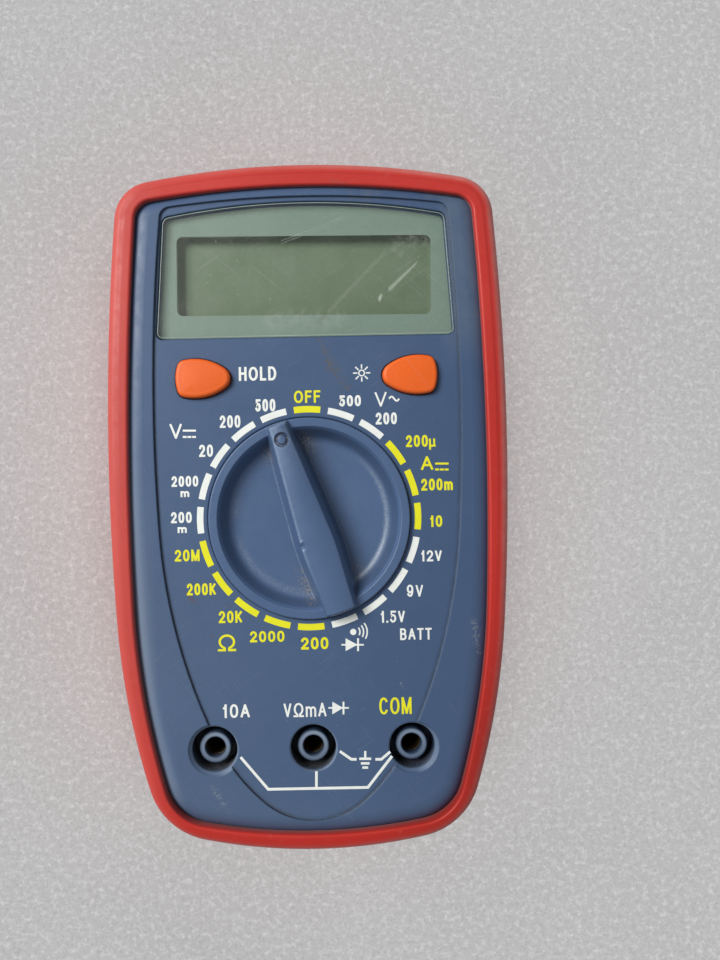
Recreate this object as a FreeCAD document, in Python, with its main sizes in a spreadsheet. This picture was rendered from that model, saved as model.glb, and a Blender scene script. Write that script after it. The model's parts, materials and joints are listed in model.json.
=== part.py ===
import FreeCAD, Part
import Sketcher
import math
import os
import re

# Hand-held digital multimeter in a stretch-on rubber boot, lying on its back.
# +Z points out of the front face, +Y toward the display, +X to the right.
# The origin is the middle of the boot's resting face.  Lengths are in mm,
# angles in degrees.  "Upper" and "lower" parts of a pair lie toward +Y and -Y.

Vec = FreeCAD.Vector
Rot = FreeCAD.Rotation
Plc = FreeCAD.Placement

doc = FreeCAD.newDocument("pocket_multimeter")
dims = doc.addObject("Spreadsheet::Sheet", "Dims")

# ------------------------------------------------------ driving dimensions
# alias, value or formula over earlier rows, meaning
TABLE = [
    # shared allowances
    ("fit_gap", 0.05, "clearance of a part in its hole"),
    ("root_in", 0.4, "overlap of a boss or wall with the wall it stands on"),
    ("over_cut", 1.0, "how far a cut starts outside the material"),
    ("through_cut", 4.0, "cuts that pass right through a plate"),
    # levels above the resting face
    ("z_case_back", 1.4, "outside of the rear cover"),
    ("z_rear_floor", 3.4, "inside of the rear cover's back wall"),
    ("z_split", 16.0, "joint line between the two covers"),
    ("z_plate_under", 28.6, "underside of the front plate"),
    ("z_panel", 31.0, "recessed front panel"),
    ("z_face", 31.5, "raised shoulders of the front cover"),
    ("z_lip", 32.2, "top of the boot's lip"),
    ("board_top", 23.5, "front side of the circuit board"),
    ("board_thick", 1.6, "circuit board thickness"),
    ("board_under", "=board_top - board_thick", "rear side of the circuit board"),
    # boot
    ("boot_wall", 1.7, "rubber wall thickness at the sides"),
    ("boot_void_crown", 5.1, "inside of the lip, following the crown"),
    ("boot_void_heel", 2.6, "inside of the boot's back edge"),
    ("boot_void_bottom", 1.35, "floor of the boot's cavity"),
    ("boot_void_depth", 30.2, "depth of the boot's cavity"),
    ("boot_bead", 1.55, "rounded outer bead of the lip"),
    ("boot_heel", 2.2, "rounded back edge of the boot"),
    ("boot_mouth_depth", 6.0, "depth of the cut that opens the lip"),
    ("boot_lip_round", 0.45, "rounded inner edge of the lip"),
    ("boot_crease_in", 1.85, "crease between bead and lip band"),
    ("boot_crease_out", 2.25, "inner side of that crease"),
    ("boot_crease_depth", 0.22, "depth of that crease"),
    ("boot_rear_inset", 4.3, "rear opening inside the boot outline"),
    ("grip_depth", 0.4, "depth of the finger grooves"),
    ("grip_r", 2.6, "radius of the finger grooves"),
    ("grip_side_x", 38.57, "side of the boot at the grooves"),
    ("grip_y", 22.0, "uppermost groove"),
    ("grip_pitch", 6.0, "groove spacing"),
    ("grip_z", 5.0, "lower end of the grooves"),
    ("grip_high", 21.0, "length of the grooves"),
    # case shell
    ("case_inset", 1.8, "case outline inside the boot outline"),
    ("case_wall", 2.0, "moulded wall thickness"),
    ("case_crown", 5.0, "crowned edge of the front face"),
    ("case_heel", 2.5, "rounded edge of the back"),
    ("rebate_in", 1.0, "joint rebate inside the case outline"),
    ("rebate_high", 1.3, "height of that rebate"),
    ("rear_lip_in", 1.06, "locating lip inside the case outline"),
    ("rear_lip_root", 0.5, "start of the locating lip below the joint line"),
    ("rear_lip_high", 1.2, "locating lip above the joint line"),
    ("rear_lip_trim", 0.001, "how far the lip's inner side stands clear of the wall's"),
    # window
    ("window_gap", 0.1, "gap round the display window"),
    ("window_seat_z", 29.5, "ledge the window is stuck to"),
    ("window_thick", 1.4, "window thickness"),
    ("window_under", 29.6, "underside of the window"),
    ("window_bevel", 0.3, "bevel of the window's front edge"),
    ("lcd_y", 44.8, "centre of the display"),
    ("lcd_hole_w", 51.4, "display opening in the plate, width"),
    ("lcd_hole_l", 18.4, "display opening in the plate, height"),
    # dial
    ("dial_y", -2.2, "dial axis"),
    ("dial_hole_r", 19.5, "round opening for the knob"),
    ("dial_hole_edge_r", 0.25, "rounding of that opening's edge"),
    ("knob_r", 19.2, "visible radius of the knob"),
    ("drum_r", 21.8, "hidden flange that keeps the knob in"),
    ("drum_top", 28.5, "top of that flange"),
    ("drum_bottom", 24.3, "underside of the drum"),
    ("rim_top", 32.0, "top of the knob's rim"),
    ("rim_inner_r", 17.5, "inside of the rim"),
    ("scoop_r", 15.0, "scoop floor radius"),
    ("scoop_z", 28.5, "scoop floor"),
    ("bar_top", 34.8, "top of the finger bar"),
    ("bar_base_z", 28.3, "bottom of the finger bar"),
    ("bar_edge", 0.55, "rounding of the bar's top edge"),
    ("bar_flare", 1.5, "widening of the bar at its base, each side"),
    ("trim_outer_r", 30.0, "outside of the ring that trims the bar's ends"),
    ("trim_high", 12.0, "height of that ring"),
    ("scoop_fillet", 1.6, "hollow at the edge of the scoops"),
    ("rim_chamfer", 0.25, "rounding of the rim's edges"),
    ("pivot_r", 1.95, "pivot pin"),
    ("pivot_hole_r", "=pivot_r + fit_gap", "pivot hole in the board"),
    ("pivot_len", 3.8, "pin length under the drum"),
    ("pointer_deg", 18.0, "dial position at rest, one step left of twelve"),
    ("marker_at", 16.1, "marker from the dial axis"),
    ("marker_outer_r", 1.25, "outside of the marker's groove"),
    ("marker_dot_r", 0.88, "dot inside the groove"),
    ("marker_depth", 0.3, "depth of the groove"),
    ("detent_ridge_r", 22.6, "inner radius of the detent ring"),
    ("detent_outer_r", 25.2, "outer radius of the detent ring"),
    ("detent_bottom_z", 25.0, "lower edge of the detent ring"),
    ("detent_notch_r", 1.5, "radius of each notch"),
    ("detent_notch_at", 22.05, "where the notches are centred"),
    ("ball_r", 1.25, "detent ball"),
    ("ball_z", 26.4, "height of the balls"),
    ("ball_at", 21.3, "ball centre from the dial axis"),
    ("ball_bore_r", "=ball_r + fit_gap", "radial bores in the drum"),
    ("ball_bore_from", 12.5, "bottom of those bores"),
    ("ball_bore_len", 12.0, "length of the cut for a bore"),
    ("spring_wire_r", 0.17, "detent spring wire"),
    ("spring_coil_r", 0.95, "detent spring coil, to the wire centre"),
    ("spring_pitch", 1.05, "detent spring pitch"),
    ("spring_len", 7.0, "detent spring, wire centre to wire centre"),
    ("spring_gap", 0.02, "gap between spring and bore bottom"),
    # push buttons
    ("button_x", 19.85, "button centres from the middle"),
    ("button_y", 25.0, "button centres"),
    ("button_gap", 0.22, "gap round a button"),
    ("button_top", 32.5, "crown of a button"),
    ("button_edge", 0.9, "rounding of a button"),
    ("button_flange_z", 27.6, "underside of the button's flange"),
    ("button_flange_top", 28.5, "top of the flange"),
    ("button_flange_out", 0.9, "how far the flange reaches out"),
    ("switch_side", 6.0, "switch body"),
    ("switch_high", 3.4, "switch body height"),
    ("plunger_r", 1.75, "switch plunger"),
    ("plunger_hole_r", "=plunger_r + fit_gap", "hole for the plunger"),
    ("plunger_top", "=button_flange_z - fit_gap", "top of the plunger"),
    ("plunger_bottom", 25.6, "bottom of the plunger"),
    ("plunger_hole_z", 25.0, "bottom of the plunger's hole"),
    ("plunger_hole_len", 6.0, "length of the cut for that hole"),
    # input jacks
    ("jack_pitch", 19.05, "jack spacing"),
    ("jack_y", -46.4, "row of jacks"),
    ("jack_hole_r", 4.4, "shroud recess"),
    ("jack_sleeve_r", 3.0, "moulded inner sleeve"),
    ("jack_sleeve_top", 29.7, "top of that sleeve"),
    ("jack_moat_z", 25.2, "bottom of the shroud recess"),
    ("jack_barrel_r", 5.7, "moulded barrel under the plate"),
    ("jack_barrel_z", 24.2, "lower end of the barrel"),
    ("jack_bore_r", 2.02, "contact bore for a 4 mm plug"),
    ("jack_mouth_r", "=jack_bore_r", "mouth of the sleeve"),
    ("jack_mouth_over", 0.5, "how far the mouth's cut reaches into the seat"),
    ("jack_tube_r", 2.5, "contact outside radius"),
    ("jack_tube_top", 27.6, "contact top"),
    ("jack_tube_bottom", 14.5, "contact bottom"),
    ("jack_seat_r", "=jack_tube_r + fit_gap", "bore that takes the contact"),
    ("jack_seat_top", "=jack_tube_top + fit_gap", "top of that bore"),
    ("jack_collar_r", 3.6, "soldered collar"),
    ("jack_collar_high", 0.6, "collar height"),
    ("jack_flare", 0.3, "bevel at the mouth of the recess"),
    # circuit board
    ("board_inset", 4.4, "board outline inside the boot outline"),
    ("board_screw_x", 27.0, "board screws from the middle"),
    ("board_screw_y_top", 15.0, "upper board screws"),
    ("board_screw_y_low", -22.0, "lower board screws"),
    ("board_post_r", 2.4, "moulded posts over the board"),
    ("board_hole_r", 1.1, "screw holes in the board"),
    ("board_shank_r", 1.0, "board screw shank"),
    ("board_shank_len", 6.5, "board screw shank length"),
    ("board_pilot_r", "=board_shank_r + fit_gap", "pilot holes in the posts"),
    ("board_pilot_len", 5.2, "depth of the pilot holes"),
    ("board_head_r", 2.0, "board screw head"),
    ("board_head_high", 1.3, "board screw head height"),
    # case screws
    ("screw_x_top", 29.4, "upper case screws from the middle"),
    ("screw_y_top", 55.5, "upper case screws"),
    ("screw_x_low", 23.7, "lower case screws from the middle"),
    ("screw_y_low", -53.95, "lower case screws"),
    ("boss_r", 2.8, "screw bosses"),
    ("boss_gap", 0.3, "gap between a boss and the board"),
    ("boss_hole_len", 10.0, "depth of the holes in the front bosses"),
    ("rear_boss_r", "=boss_r + 0.8", "screw bosses of the rear cover"),
    ("screw_shank_r", 1.45, "case screw shank"),
    ("screw_hole_r", "=screw_shank_r + fit_gap", "case screw hole"),
    ("screw_head_r", 2.6, "case screw head"),
    ("screw_sink_r", 2.8, "counterbore"),
    ("screw_sink_z", 4.2, "bottom of the counterbore"),
    ("screw_head_high", 1.8, "head height"),
    ("screw_tip_z", 24.5, "end of the case screw"),
    ("shank_in", 0.2, "overlap of a screw's shank with its head"),
    # battery, nine volt block
    ("bat_x", -28.0, "left end"),
    ("bat_y", 24.0, "lower side"),
    ("bat_z", 3.6, "underside"),
    ("bat_len", 48.5, "length"),
    ("bat_wide", 26.5, "width"),
    ("bat_high", 17.5, "height"),
    ("bat_round", 2.5, "rounded long edges"),
    ("bat_end_x", "=bat_x + bat_len", "terminal end"),
    ("bat_mid_y", "=bat_y + bat_wide / 2", "middle of the width"),
    ("bat_mid_z", "=bat_z + bat_high / 2", "middle of the height"),
    # fuse, 5 x 20
    ("fuse_x", 2.0, "middle of the fuse"),
    ("fuse_y", -31.0, "fuse axis"),
    ("fuse_z", 18.2, "fuse axis height"),
    ("fuse_cap_r", 2.6, "end cap radius"),
    ("fuse_cap_len", 5.0, "end cap length"),
    ("fuse_cap_wall", 0.4, "end wall of a cap"),
    ("fuse_cap_gap", 0.02, "gap between cap and glass"),
    ("fuse_half", 10.0, "half the fuse's length"),
    ("fuse_glass_r", 2.3, "glass tube"),
    ("fuse_glass_in", 1.8, "glass tube bore"),
    ("fuse_glass_inset", 0.45, "end of the glass inside the end of the fuse"),
    ("fuse_wire_r", 0.1, "fuse element"),
    # beeper
    ("beep_x", -17.0, "beeper centre"),
    ("beep_y", -14.0, "beeper centre"),
    ("beep_r", 10.0, "beeper disc"),
    ("beep_ceramic_r", 7.5, "ceramic layer"),
    ("beep_layer", 0.25, "thickness of each layer"),
    ("beep_ceramic_up", 0.2, "ceramic layer above the rear floor"),
    # low walls on the rear floor
    ("bay_gap", 0.3, "gap between a part and the wall round it"),
    ("bay_out", 1.4, "outside of the wall from the part"),
    ("bat_wall_high", 2.0, "wall round the battery"),
    ("beep_wall_high", 1.5, "wall round the beeper"),
    # outside of the rear cover
    ("label_w", 40.0, "blank rating label width"),
    ("label_l", 24.0, "blank rating label height"),
    ("label_y", -16.0, "label centre"),
    ("label_thick", 0.2, "label thickness"),
    ("label_gap", 0.15, "gap round the label"),
    ("label_sink", 0.1, "label below the back of the case"),
    ("slot_wide", 44.0, "slots across the back, in X"),
    ("slot_long", 2.2, "slots across the back, in Y"),
    ("slot_y", 18.0, "lower side of the lowest slot"),
    ("slot_pitch", 7.0, "slot spacing"),
    ("slot_deep", 0.5, "slot depth"),
]

ALIASES = {row[0] for row in TABLE}
dims.set("A1", "name")
dims.set("B1", "value_mm_or_deg")
dims.set("C1", "meaning")
for row_number, (alias, value, meaning) in enumerate(TABLE, 2):
    value_cell = "B%d" % row_number
    dims.set("A%d" % row_number, alias)
    dims.set(value_cell, value if isinstance(value, str) else repr(value))
    dims.set("C%d" % row_number, meaning)
    dims.setAlias(value_cell, alias)
doc.recompute()


def dim(alias):
    """Value of an alias in the sheet."""
    return float(dims.get(alias))


def bind(obj, prop, value):
    """Bind a property to a number or to an expression over the aliases."""
    def qualified(match):
        word = match.group(0)
        return "Dims." + word if word in ALIASES else word
    if isinstance(value, str):
        expression = re.sub(r"[A-Za-z_][A-Za-z_0-9]*", qualified, value)
    else:
        expression = repr(float(value))
    obj.setExpression(prop, expression)


# --------------------------------------------------------- shared positions
DIAL_Y = dim("dial_y")
JACK_Y = dim("jack_y")
BOARD_UNDER = dim("board_under")
CASE_OFF = -dim("case_inset")             # case outline from the boot outline
CASE_INNER_OFF = CASE_OFF - dim("case_wall")
SIDES = (("left", -1), ("right", 1))
JACKS = (("left", -dim("jack_pitch")), ("middle", 0.0), ("right", dim("jack_pitch")))
JACK_CIRCLES = [(jack_x, "jack_y") for _, jack_x in JACKS]
CASE_SCREWS = [(side * dim("screw_x_" + end), dim("screw_y_" + end))
               for end in ("top", "low") for side in (1, -1)]
BOARD_SCREWS = [(side * dim("board_screw_x"), dim("board_screw_y_" + end))
                for side in (1, -1) for end in ("top", "low")]

# ---------------------------------------------------------------- outlines
# Each outline is symmetric about its own Y axis.  It is given as the Y of its
# top centre and the steps of its right half, clockwise: ("arc", radius,
# sweep) or ("line", length), then a closing arc or a closing level line.
# Successive steps are tangent, apart from the closing ones.
BOOT = (66.03, [("arc", 166.7810, 10.48), ("arc", 7.6439, 74.42), ("arc", 509.0234, 8.88),
                ("arc", 143.7297, 12.95), ("arc", 13.8328, 61.32), ("closing arc",)])
# The next three are centred on the dial axis.
LIP = (63.74, [("arc", 190.7, 8.84), ("arc", 3.69, 76.61), ("arc", 644.4, 6.62),
               ("arc", 152.0, 13.69), ("arc", 9.15, 63.92), ("closing arc",)])
TONGUE = (61.95, [("arc", 209.96, 7.06), ("arc", 2.19, 77.20), ("arc", 377.40, 9.30),
                  ("arc", 109.48, 21.47), ("arc", 36.50, 24.60), ("closing arc",)])
WINDOW = (61.0, [("arc", 142.0, 10.55), ("arc", 1.7, 75.65), ("line", 20.9),
                 ("arc", 1.2, 93.8), ("closing line",)])
# Centred on the button.
BUTTON = (5.24, [("arc", 8.0, 18.0), ("arc", 1.6, 60.0), ("arc", 10.0, 48.0), ("closing arc",)])


def unit(deg):
    return math.cos(math.radians(deg)), math.sin(math.radians(deg))


def turned(x, y, rot, cx=0.0, cy=0.0):
    """Point turned about the origin, then moved by (cx, cy)."""
    c, s = unit(rot)
    return Vec(x * c - y * s + cx, x * s + y * c + cy, 0)


def half_outline(outline, off=0.0):
    """Right half, offset outward: ("arc", cx, cy, r, low angle, high angle)
    and ("line", x0, y0, x1, y1)."""
    top, steps = outline
    x, y, angle = 0.0, top + off, 90.0
    half = []
    for step in steps:
        kind = step[0]
        ux, uy = unit(angle)
        if kind == "line":
            next_x, next_y = x + step[1] * uy, y - step[1] * ux
            half.append(("line", x, y, next_x, next_y))
            x, y = next_x, next_y
        elif kind == "closing line":
            half.append(("line", x, y, 0.0, y))
        else:
            if kind == "closing arc":
                r, sweep = x / ux, angle + 90.0
            else:
                r, sweep = step[1] + off, step[2]
            cx, cy = x - r * ux, y - r * uy
            half.append(("arc", cx, cy, r, angle - sweep, angle))
            angle -= sweep
            ux, uy = unit(angle)
            x, y = cx + r * ux, cy + r * uy
    return half


def both_halves(half, cx=0.0, cy=0.0, rot=0.0):
    """Part curves for a right half and its mirror image."""
    curves = []
    for side in (1, -1):
        for piece in half:
            if piece[0] == "line":
                _, x0, y0, x1, y1 = piece
                curves.append(Part.LineSegment(turned(side * x0, y0, rot, cx, cy),
                                               turned(side * x1, y1, rot, cx, cy)))
                continue
            _, x, y, r, low, high = piece
            if side < 0:
                low, high = 180.0 - high, 180.0 - low
            circle = Part.Circle(turned(side * x, y, rot, cx, cy), Vec(0, 0, 1), r)
            curves.append(Part.ArcOfCircle(circle, math.radians(low + rot),
                                           math.radians(high + rot)))
    return curves


def closed(outline, off=0.0, cx=0.0, cy=0.0, rot=0.0):
    return both_halves(half_outline(outline, off), cx, cy, rot)


def circles(centres, r):
    return [Part.Circle(Vec(x, y, 0), Vec(0, 0, 1), r) for x, y in centres]


def polygon(points):
    p = [Vec(x, y, 0) for x, y in points]
    return [Part.LineSegment(p[k - 1], p[k]) for k in range(1, len(p))] + [
        Part.LineSegment(p[-1], p[0])]


def rect(x0, y0, x1, y1):
    return polygon([(x0, y0), (x1, y0), (x1, y1), (x0, y1)])


# ----------------------------------------------------- part design helpers
def new_body(name):
    return doc.addObject("PartDesign::Body", name)


def sketch(body, name, at="0", curves=(), plane="XY_Plane", dx=None):
    """Sketch on an origin plane, moved along its normal, with blocked curves.

    The normals are +Z for XY_Plane, -Y for XZ_Plane and +X for YZ_Plane.
    """
    s = body.newObject("Sketcher::SketchObject", name)
    base = [f for f in body.Origin.OriginFeatures if f.Role == plane][0]
    s.AttachmentSupport = [(base, "")]
    s.MapMode = "FlatFace"
    bind(s, ".AttachmentOffset.Base.z", at)
    if dx is not None:
        bind(s, ".AttachmentOffset.Base.x", dx)
    add_fixed(s, curves)
    return s


def add_fixed(s, curves):
    for curve in curves:
        i = s.addGeometry(curve, False)
        s.addConstraint(Sketcher.Constraint("Block", i))


def bound_circles(body, name, at, centres, *radii, plane="XY_Plane"):
    """Sketch of circles whose radii, and centres given as aliases, are bound."""
    s = sketch(body, name, at, plane=plane)
    for radius in radii:
        for centre in centres:
            x, y = [dim(q) if isinstance(q, str) else q for q in centre]
            i = s.addGeometry(Part.Circle(Vec(x, y, 0), Vec(0, 0, 1), dim(radius)), False)
            c = s.addConstraint(Sketcher.Constraint("Radius", i, dim(radius)))
            bind(s, "Constraints[%d]" % c, radius)
            for kind, start, source in (("DistanceX", x, centre[0]), ("DistanceY", y, centre[1])):
                c = s.addConstraint(Sketcher.Constraint(kind, -1, 1, i, 3, start))
                if isinstance(source, str):
                    bind(s, "Constraints[%d]" % c, source)
    return s


def pad(body, s, name, length, down=False):
    f = body.newObject("PartDesign::Pad", name)
    f.Profile = s
    bind(f, "Length", length)
    f.Reversed = down
    body.Tip = f
    return f


def pocket(body, s, name, length, up=False):
    doc.recompute()
    before = body.Tip.Shape.Volume
    f = body.newObject("PartDesign::Pocket", name)
    f.Profile = s
    bind(f, "Length", length)
    f.Reversed = up
    body.Tip = f
    doc.recompute()
    if f.Shape.isNull() or f.Shape.Volume > before - 1e-4:
        raise RuntimeError("%s removes nothing" % name)


def turn(body, kind, name, s):
    """Full revolution or groove about the sketch's vertical axis."""
    f = body.newObject("PartDesign::" + kind, name)
    f.Profile = s
    f.ReferenceAxis = (s, ["V_Axis"])
    f.Angle = 360.0
    body.Tip = f
    doc.recompute()


def fillet(body, name, radius, test, chamfer=False):
    """Round or chamfer every edge of the body that passes the test."""
    doc.recompute()
    base = body.Tip
    names = ["Edge%d" % (i + 1) for i, e in enumerate(base.Shape.Edges) if test(e)]
    if not names:
        raise RuntimeError("%s finds no edge" % name)
    f = body.newObject("PartDesign::Chamfer" if chamfer else "PartDesign::Fillet", name)
    f.Base = (base, names)
    bind(f, "Size" if chamfer else "Radius", radius)
    body.Tip = f
    doc.recompute()


EDGE_TOL = 1e-3


def flat_at(z):
    """Test for edges that lie level at z."""
    def test(edge):
        bb = edge.BoundBox
        return abs(bb.ZMin - z) < EDGE_TOL and abs(bb.ZMax - z) < EDGE_TOL
    return test


def round_at(z, r=None):
    """Test for circular edges level at z, of radius r if it is given."""
    def test(edge):
        return (flat_at(z)(edge) and hasattr(edge.Curve, "Radius")
                and (r is None or abs(edge.Curve.Radius - r) < EDGE_TOL))
    return test


# --------------------------------------------------------- simple solids
def bind_all(obj, props, values):
    for prop, value in zip(props, values):
        bind(obj, prop, value)
    return obj


PLACE = (".Placement.Base.x", ".Placement.Base.y", ".Placement.Base.z")


def box(name, corner, size):
    """Box from its lowest corner; size in X, Y and Z."""
    o = doc.addObject("Part::Box", name)
    bind_all(o, ("Length", "Width", "Height"), size)
    return bind_all(o, PLACE, corner)


def mid_box(name, middle, size):
    """Box centred in X and Y; middle's third value is the underside."""
    x, y = ["(%s) - (%s) / 2" % pair for pair in zip(middle[:2], size[:2])]
    return box(name, (x, y, middle[2]), size)


def cyl(name, start, r, high, along_x=False):
    o = doc.addObject("Part::Cylinder", name)
    if along_x:
        o.Placement = Plc(Vec(0, 0, 0), Rot(Vec(0, 1, 0), 90))
    bind_all(o, ("Radius", "Height"), (r, high))
    return bind_all(o, PLACE, start)


def fuse(name, *objs):
    o = doc.addObject("Part::MultiFuse", name)
    o.Shapes = list(objs)
    return o


def cut(name, base, *tools):
    o = base
    for k, tool in enumerate(tools):
        last = k == len(tools) - 1
        c = doc.addObject("Part::Cut", name if last else "%s_cut%d" % (name, k))
        c.Base = o
        c.Tool = tool
        o = c
    return o


def group(name, objs):
    o = doc.addObject("Part::Compound", name)
    o.Links = list(objs)
    return o


def wire_run(name, y, points, r, bend):
    """Round wire in the plane at y, through (x, z) points with bent corners."""
    body = new_body(name)
    path = sketch(body, name + "_path", -y, plane="XZ_Plane")
    p = [Vec(px, pz, 0) for px, pz in points]
    start = p[0]
    curves = []
    for k in range(1, len(p) - 1):
        dir_in = (p[k] - p[k - 1]).normalize()
        dir_out = (p[k + 1] - p[k]).normalize()
        half_turn = dir_in.getAngle(dir_out) / 2
        trim = bend * math.tan(half_turn)
        bend_start = p[k] - dir_in * trim
        bend_end = p[k] + dir_out * trim
        inward = (dir_out - dir_in).normalize()
        bend_mid = p[k] + inward * (bend / math.cos(half_turn) - bend)
        curves.append(Part.LineSegment(start, bend_start))
        curves.append(Part.Arc(bend_start, bend_mid, bend_end))
        start = bend_end
    curves.append(Part.LineSegment(start, p[-1]))
    add_fixed(path, curves)
    doc.recompute()
    section = body.newObject("Sketcher::SketchObject", name + "_section")
    first, second = [path.Placement.multVec(q) for q in (p[0], p[1])]
    section.Placement = Plc(first, Rot(Vec(0, 0, 1), second - first))
    section.addGeometry(Part.Circle(Vec(0, 0, 0), Vec(0, 0, 1), r), False)
    section.addConstraint(Sketcher.Constraint("Radius", 0, r))
    section.addConstraint(Sketcher.Constraint("Coincident", 0, 3, -1, 1))
    doc.recompute()
    pipe = body.newObject("PartDesign::AdditivePipe", name + "_wire")
    pipe.Profile = section
    pipe.Spine = (path, ["Edge%d" % (i + 1) for i in range(len(path.Shape.Edges))])
    body.Tip = pipe
    doc.recompute()
    return body


NODES = []


def done(obj, name):
    """Label a finished piece and put it down for export."""
    obj.Label = name
    NODES.append((name, obj))


# ------------------------------------------------------------------- boot
GRIPS = 5
# Box in X and Y that holds the mouth's edges but not the bead's
MOUTH_X = 34.9
MOUTH_Y = (-63.1, 61.9)


def mouth_edge(edge):
    bb = edge.BoundBox
    return (flat_at(dim("z_lip"))(edge) and abs(bb.XMin) < MOUTH_X and abs(bb.XMax) < MOUTH_X
            and bb.YMax < MOUTH_Y[1] and bb.YMin > MOUTH_Y[0])


def boot_cavity():
    void = new_body("boot_void")
    s = sketch(void, "boot_void_outline", "boot_void_bottom", closed(BOOT, -dim("boot_wall")))
    pad(void, s, "boot_void_block", "boot_void_depth")
    bottom = dim("boot_void_bottom")
    fillet(void, "boot_void_crown_edge", "boot_void_crown",
           flat_at(bottom + dim("boot_void_depth")))
    fillet(void, "boot_void_heel_edge", "boot_void_heel", flat_at(bottom))
    return void


def crease_curves():
    """Open-ended band along the boot's top, upper corners and upper sides."""
    halves = [half_outline(BOOT, -dim(inset))[:3]
              for inset in ("boot_crease_out", "boot_crease_in")]
    curves = both_halves(halves[0]) + both_halves(halves[1])
    for side in (1, -1):
        ends = []
        for half in halves:
            _, cx, cy, r, low, _ = half[-1]
            ux, uy = unit(low)
            ends.append(Vec(side * (cx + r * ux), cy + r * uy, 0))
        curves.append(Part.LineSegment(*ends))
    return curves


def make_boot():
    """Side wall, rolled lip over the face's edge and a rim round a rear opening."""
    void = boot_cavity()
    boot = new_body("boot")
    pad(boot, sketch(boot, "boot_outline", "0", closed(BOOT)), "boot_block", "z_lip")
    fillet(boot, "boot_bead_edge", "boot_bead", flat_at(dim("z_lip")))
    fillet(boot, "boot_heel_edge", "boot_heel", flat_at(0.0))
    hollow = boot.newObject("PartDesign::Boolean", "boot_cavity")
    hollow.Type = "Cut"
    hollow.addObjects([void])
    boot.Tip = hollow
    doc.recompute()
    s = sketch(boot, "boot_mouth", "z_lip + over_cut", closed(LIP, cy=DIAL_Y))
    pocket(boot, s, "boot_mouth_cut", "boot_mouth_depth")
    s = sketch(boot, "boot_rear", "0 - over_cut", closed(BOOT, -dim("boot_rear_inset")))
    pocket(boot, s, "boot_rear_cut", "through_cut", up=True)
    fillet(boot, "boot_lip_edge", "boot_lip_round", mouth_edge)
    s = sketch(boot, "boot_crease", "z_lip", crease_curves())
    pocket(boot, s, "boot_crease_cut", "boot_crease_depth")
    groove_x = dim("grip_side_x") + dim("grip_r") - dim("grip_depth")
    for k, side in enumerate((1, -1)):
        for j in range(GRIPS):
            centre = (side * groove_x, dim("grip_y") - dim("grip_pitch") * j)
            s = sketch(boot, "grip_%d_%d" % (k, j), "grip_z", circles([centre], dim("grip_r")))
            pocket(boot, s, "grip_cut_%d_%d" % (k, j), "grip_high", up=True)
    done(boot, "boot")


# ------------------------------------------------------------ front cover
NOTCHES = 20
# Triangle that turns the bevel: reach inside the recess, reach above the
# face, extra depth and extra width beyond the bevel itself
FLARE_IN, FLARE_UP, FLARE_DEEP, FLARE_OUT = 0.2, 0.25, 0.75, 0.5


def shape_front_shell(front):
    s = sketch(front, "front_outline", "z_split", closed(BOOT, CASE_OFF))
    pad(front, s, "front_block", "z_face - z_split")
    fillet(front, "front_crown", "case_crown", flat_at(dim("z_face")))
    s = sketch(front, "front_inside", "z_split", closed(BOOT, CASE_INNER_OFF))
    pocket(front, s, "front_hollow", "z_plate_under - z_split", up=True)
    # rebate that takes the rear cover's locating lip
    s = sketch(front, "front_rebate", "z_split", closed(BOOT, CASE_OFF - dim("rebate_in")))
    pocket(front, s, "front_rebate_cut", "rebate_high", up=True)
    # recessed panel, stopping short of the shoulders
    s = sketch(front, "panel_outline", "z_face", closed(TONGUE, cy=DIAL_Y))
    pocket(front, s, "panel_recess", "z_face - z_panel")
    # seat for the window and opening for the display
    s = sketch(front, "window_outline", "z_face", closed(WINDOW, dim("window_gap"), cy=DIAL_Y))
    pocket(front, s, "window_seat", "z_face - window_seat_z")
    half_w, half_l = dim("lcd_hole_w") / 2, dim("lcd_hole_l") / 2
    s = sketch(front, "lcd_hole", "z_face",
               rect(-half_w, dim("lcd_y") - half_l, half_w, dim("lcd_y") + half_l))
    pocket(front, s, "lcd_hole_cut", "through_cut")


def add_front_bosses(front):
    """Case screw bosses and board posts, with their holes."""
    root = "z_plate_under + root_in"
    s = sketch(front, "boss_circles", root, circles(CASE_SCREWS, dim("boss_r")))
    pad(front, s, "bosses", root + " - z_split", down=True)
    s = sketch(front, "post_circles", root, circles(BOARD_SCREWS, dim("board_post_r")))
    pad(front, s, "posts", root + " - board_top", down=True)
    s = sketch(front, "boss_holes", "z_split", circles(CASE_SCREWS, dim("screw_hole_r")))
    pocket(front, s, "boss_holes_cut", "boss_hole_len", up=True)
    s = sketch(front, "post_holes", "board_top", circles(BOARD_SCREWS, dim("board_pilot_r")))
    pocket(front, s, "post_holes_cut", "board_pilot_len", up=True)


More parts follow.
